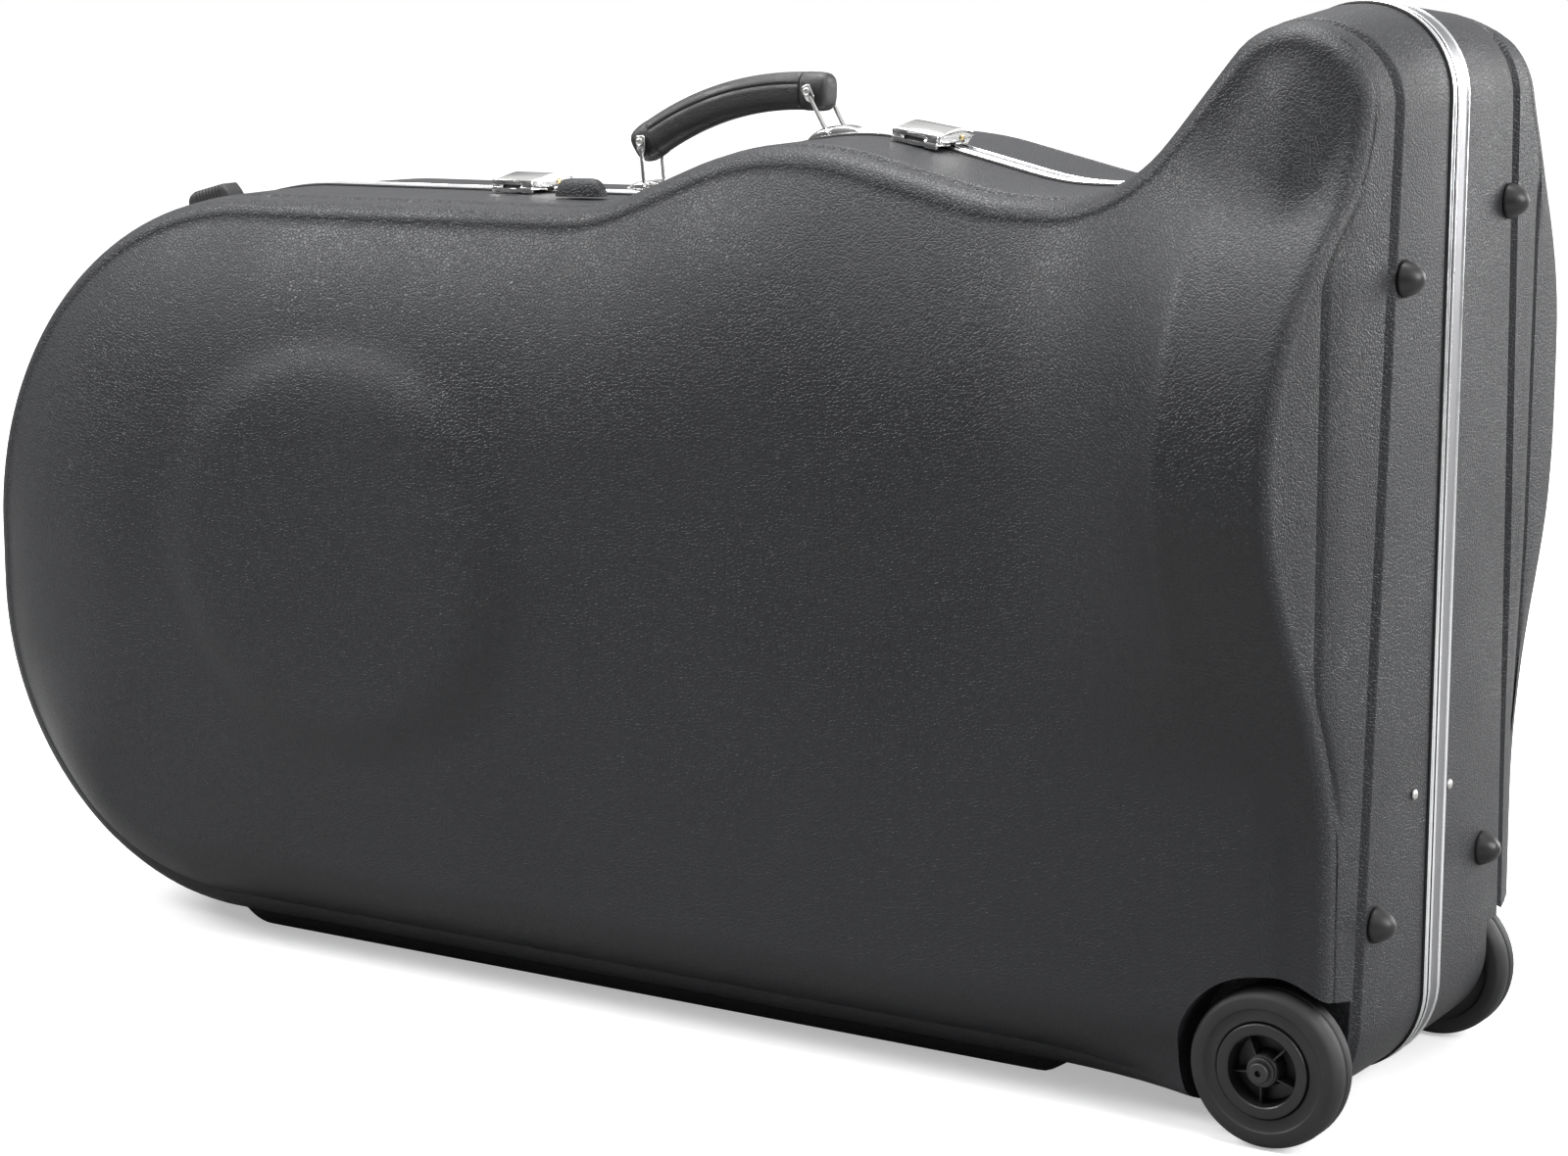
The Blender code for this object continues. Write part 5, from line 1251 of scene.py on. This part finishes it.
def make_pin(side):
    head = heads_at[side]
    ends = []
    for sign in (-1, 1):
        button = turned([(0.0011, 0.0), (0.0029, 0.0), (0.0030, 0.0003), (0.0028, 0.0009), (0.0022, 0.0012),
                         (0.0016, 0.0010), (0.0013, 0.0005), (0.0011, 0.0004)], 40, True)
        button.rotation_euler = (-sign * math.pi / 2, 0, 0)
        button.location = (head.x, HANDLE_Y + sign * (SPREAD + 0.0012), head.y)
        settle(button)
        ends.append(button)
    bpy.ops.object.select_all(action="DESELECT")
    bpy.ops.mesh.primitive_cylinder_add(vertices=32, radius=0.0014, depth=2 * SPREAD + 0.0036,
                                        location=(head.x, HANDLE_Y, head.y), rotation=(math.pi / 2, 0, 0))
    shank = bpy.context.object
    settle(shank)
    pin = joined(ends + [shank])
    finish_piece(pin, "grip_pin_" + side + "_visual", zinc, "handle", ["grip_pin_" + side], 40)


for side, body in (("left", "bail_l"), ("right", "bail_r")):
    make_bail(side, body)
    make_plate(side)
    make_pin(side)
print("bails, plates and pins made")

# %% [markdown]
# ## Guard and bumper
#
# A squared dome of grained plastic guards the first latch. At the top of the tail sits a rubber bumper with a
# smooth nose and eight slanted grooves. Both stand on the near edge band and were moulded, so all edges are
# soft.

# %% Guard and bumper
guard_rings = []
for level, wide, deep, power in ((0.0, 0.0200, 0.0080, 3.4), (0.0030, 0.0193, 0.0077, 3.4), (0.0060, 0.0182, 0.0073, 3.4),
                                 (0.0084, 0.0168, 0.0067, 3.4), (0.0099, 0.0155, 0.0061, 3.2),
                                 (0.0110, 0.0141, 0.0053, 3.0), (0.0118, 0.0122, 0.0043, 2.8),
                                 (0.0122, 0.0098, 0.0030, 2.6), (0.01235, 0.0060, 0.0016, 2.4)):
    guard_rings.append([(x, y, min(level, 0.0122)) for x, y in super_ring(wide, deep, power)])
guard = seated(loft("guard", guard_rings), (-0.0619, 0.550062, math.radians(1.2766)), -0.045)
finish_piece(guard, "latch_guard_visual", plastic.mat, "lid", ["latch_guard"], 50)


def bumper_ring(s, height, wide, lean):
    side = 0.009 * wide
    shape = [(-side, 0.0), (-side, height * 0.60), (-side * 0.96, height * 0.80), (-side * 0.86, height * 0.94),
             (-side * 0.70, height), (0.0, height * 1.0), (side * 0.70, height), (side * 0.86, height * 0.94),
             (side * 0.96, height * 0.80), (side, height * 0.60), (side, 0.0)]
    return [(s + lean * y / 0.009, y, z) for y, z in shape]


half_length = 0.0215
nose = [(0.0, 0.0035, 0.35), (0.0006, 0.0058, 0.55), (0.0015, 0.0080, 0.72), (0.0030, 0.0102, 0.86),
        (0.0050, 0.0118, 0.94), (0.0075, 0.0129, 0.985), (0.0100, 0.0135, 1.0), (0.0118, 0.0135, 1.0)]
bumper_rings = [bumper_ring(-half_length + s, height, wide, 0) for s, height, wide in nose]
pitch = (0.043 - 0.0175) / 8
for k in range(8):
    base = -half_length + 0.0130 + k * pitch
    for step, drop in ((0.0, 0.0), (0.0002, 0.0009), (0.0005, 0.0017), (0.0010, 0.0017), (0.0013, 0.0009), (0.0015, 0.0)):
        bumper_rings.append(bumper_ring(base + step, 0.0135 - 0.00025 * k - drop, 1.0 - 0.05 * (drop > 0.001), 0.0010))
bumper_rings += [bumper_ring(half_length - 0.0034, 0.0113, 1.0, 0.0006), bumper_ring(half_length - 0.0008, 0.0062, 0.98, 0),
                 bumper_ring(half_length, 0.0030, 0.95, 0)]
print("guard and bumper profiles ready")
bumper = seated(loft("bumper", bumper_rings), (-0.3949, 0.531212, math.radians(18.9519)), -0.044)
finish_piece(bumper, "rear_bumper_visual", rubber.mat, "lid", ["rear_bumper"], 38)
print("guard and bumper made")

# %% [markdown]
# ## Pieces carried over
#
# Hinges, latch bases and hinge pins are plain pressed or turned steel, already true in the CAD model. They
# keep their CAD form and get the plated finishes.

# %% Hinges, bases and pins
for name, node in nodes.items():
    if name.startswith("hinge_") or name.endswith("_base") or (name.startswith("latch_") and name.endswith("_pin")):
        node.data.materials.clear()
        node.data.materials.append(zinc if name.startswith("hinge_") else chrome)
        pick(node)
        bpy.ops.object.shade_smooth_by_angle(angle=math.radians(30))
print("carried over:", [name for name in nodes if name.startswith("hinge_") or name.endswith("_base")])

# %% [markdown]
# ## Floor and light
#
# The case stands on a plain white floor in a soft studio. The background is plain white only to the camera.
# Reflections see it fade from a bright ceiling to a dim horizon, and a greyer floor, so the plated parts keep
# their contrast and the plastic its depth. The floor takes the shadow, and far off it fades into the white.
# Four large soft lamps give the bright top edges, the darker face below and the sheen on the bell end.

# %% Floor
bpy.ops.object.select_all(action="DESELECT")
bpy.ops.mesh.primitive_plane_add(size=60, location=(0, 0, -0.0005))
floor = bpy.context.object
floor.name = "floor"
pick(floor)
bpy.ops.object.transform_apply(location=True, rotation=True, scale=True)
paper = bpy.data.materials.new("floor_paper")
paper.use_nodes = True
tree = paper.node_tree
shader = tree.nodes["Principled BSDF"]
shader.inputs["Base Color"].default_value = (0.86, 0.86, 0.86, 1)
shader.inputs["Roughness"].default_value = 0.9
shader.inputs["Emission Color"].default_value = (1, 1, 1, 1)
rays = tree.nodes.new("ShaderNodeLightPath")
place = tree.nodes.new("ShaderNodeTexCoord")
distance = tree.nodes.new("ShaderNodeVectorMath")
distance.operation = "LENGTH"
tree.links.new(place.outputs["Object"], distance.inputs[0])
fade = tree.nodes.new("ShaderNodeMapRange")
fade.interpolation_type = "SMOOTHSTEP"
for key, number in (("From Min", 0.7), ("From Max", 2.6), ("To Min", 0.40), ("To Max", 1.0)):
    fade.inputs[key].default_value = number
tree.links.new(distance.outputs["Value"], fade.inputs["Value"])
glow = tree.nodes.new("ShaderNodeMath")
glow.operation = "MULTIPLY"
tree.links.new(rays.outputs["Is Camera Ray"], glow.inputs[0])
tree.links.new(fade.outputs["Result"], glow.inputs[1])
tree.links.new(glow.outputs[0], shader.inputs["Emission Strength"])
shade = tree.nodes.new("ShaderNodeMix")
shade.data_type = "RGBA"
shade.inputs["A"].default_value, shade.inputs["B"].default_value = (0.38, 0.38, 0.38, 1), (0.86, 0.86, 0.86, 1)
tree.links.new(rays.outputs["Is Camera Ray"], shade.inputs["Factor"])
tree.links.new(shade.outputs["Result"], shader.inputs["Base Color"])
floor.data.materials.append(paper)
print("floor ready")

# %% Room and lamps
world = bpy.data.worlds.new("studio")
bpy.context.scene.world = world
world.use_nodes = True
tree = world.node_tree
tree.nodes.clear()
rays = tree.nodes.new("ShaderNodeLightPath")
first, second = tree.nodes.new("ShaderNodeMath"), tree.nodes.new("ShaderNodeMath")
first.operation = second.operation = "MAXIMUM"
tree.links.new(rays.outputs["Is Camera Ray"], first.inputs[0])
tree.links.new(rays.outputs["Is Glossy Ray"], first.inputs[1])
tree.links.new(first.outputs[0], second.inputs[0])
tree.links.new(rays.outputs["Is Transmission Ray"], second.inputs[1])
white, ambient = tree.nodes.new("ShaderNodeBackground"), tree.nodes.new("ShaderNodeBackground")
white.inputs["Color"].default_value = ambient.inputs["Color"].default_value = (1, 1, 1, 1)
view = tree.nodes.new("ShaderNodeTexCoord")
parts = tree.nodes.new("ShaderNodeSeparateXYZ")
tree.links.new(view.outputs["Generated"], parts.inputs[0])
height = tree.nodes.new("ShaderNodeMapRange")
height.interpolation_type = "SMOOTHSTEP"
for key, number in (("From Min", -0.05), ("From Max", 0.65), ("To Min", 0.14), ("To Max", 1.0)):
    height.inputs[key].default_value = number
tree.links.new(parts.outputs["Z"], height.inputs["Value"])
strength = tree.nodes.new("ShaderNodeMix")
strength.inputs["B"].default_value = 1.0
tree.links.new(rays.outputs["Is Camera Ray"], strength.inputs["Factor"])
tree.links.new(height.outputs["Result"], strength.inputs["A"])
tree.links.new(strength.outputs["Result"], white.inputs["Strength"])
ambient.inputs["Strength"].default_value = 0.24
mixed, output = tree.nodes.new("ShaderNodeMixShader"), tree.nodes.new("ShaderNodeOutputWorld")
tree.links.new(second.outputs[0], mixed.inputs[0])
tree.links.new(ambient.outputs[0], mixed.inputs[1])
tree.links.new(white.outputs[0], mixed.inputs[2])
tree.links.new(mixed.outputs[0], output.inputs["Surface"])


def lamp(name, location, aim, size, power):
    data = bpy.data.lights.new(name, "AREA")
    data.shape, data.size, data.energy = "SQUARE", size, power
    obj = bpy.data.objects.new(name, data)
    bpy.context.scene.collection.objects.link(obj)
    obj.location = location
    obj.rotation_euler = (Vector(aim) - Vector(location)).to_track_quat("-Z", "Y").to_euler()
    return obj


lamp("overhead", (-0.2, 0.1, 3.0), (0, 0, 0.3), 1.9, 145)
lamp("key", (-2.6, -1.5, 2.6), (0, 0, 0.35), 1.4, 120)
lamp("end_fill", (3.2, -0.3, 1.7), (0.4, 0, 0.35), 1.6, 95)
lamp("end_sheen", (2.2, 3.0, 1.1), (0.55, 0, 0.35), 1.6, 70)

# %% [markdown]
# ## Camera
#
# The camera stands where the photographer's stood: 32 degrees round to the bell end, ten degrees up, with a
# long lens.

# %% Camera
turn, rise = math.radians(32.29), math.radians(10.27)
forward = Vector((-math.sin(turn) * math.cos(rise), math.cos(turn) * math.cos(rise), -math.sin(rise)))
camera = bpy.data.objects.new("camera", bpy.data.cameras.new("camera"))
bpy.context.scene.collection.objects.link(camera)
camera.data.sensor_width, camera.data.lens = 36, 80.48
camera.location = (1.35261, -2.0217, 0.72195)
camera.rotation_euler = forward.to_track_quat("-Z", "Y").to_euler()
bpy.context.scene.camera = camera
bpy.context.scene.view_settings.view_transform = "Standard"
print("camera at", [round(v, 3) for v in camera.location])
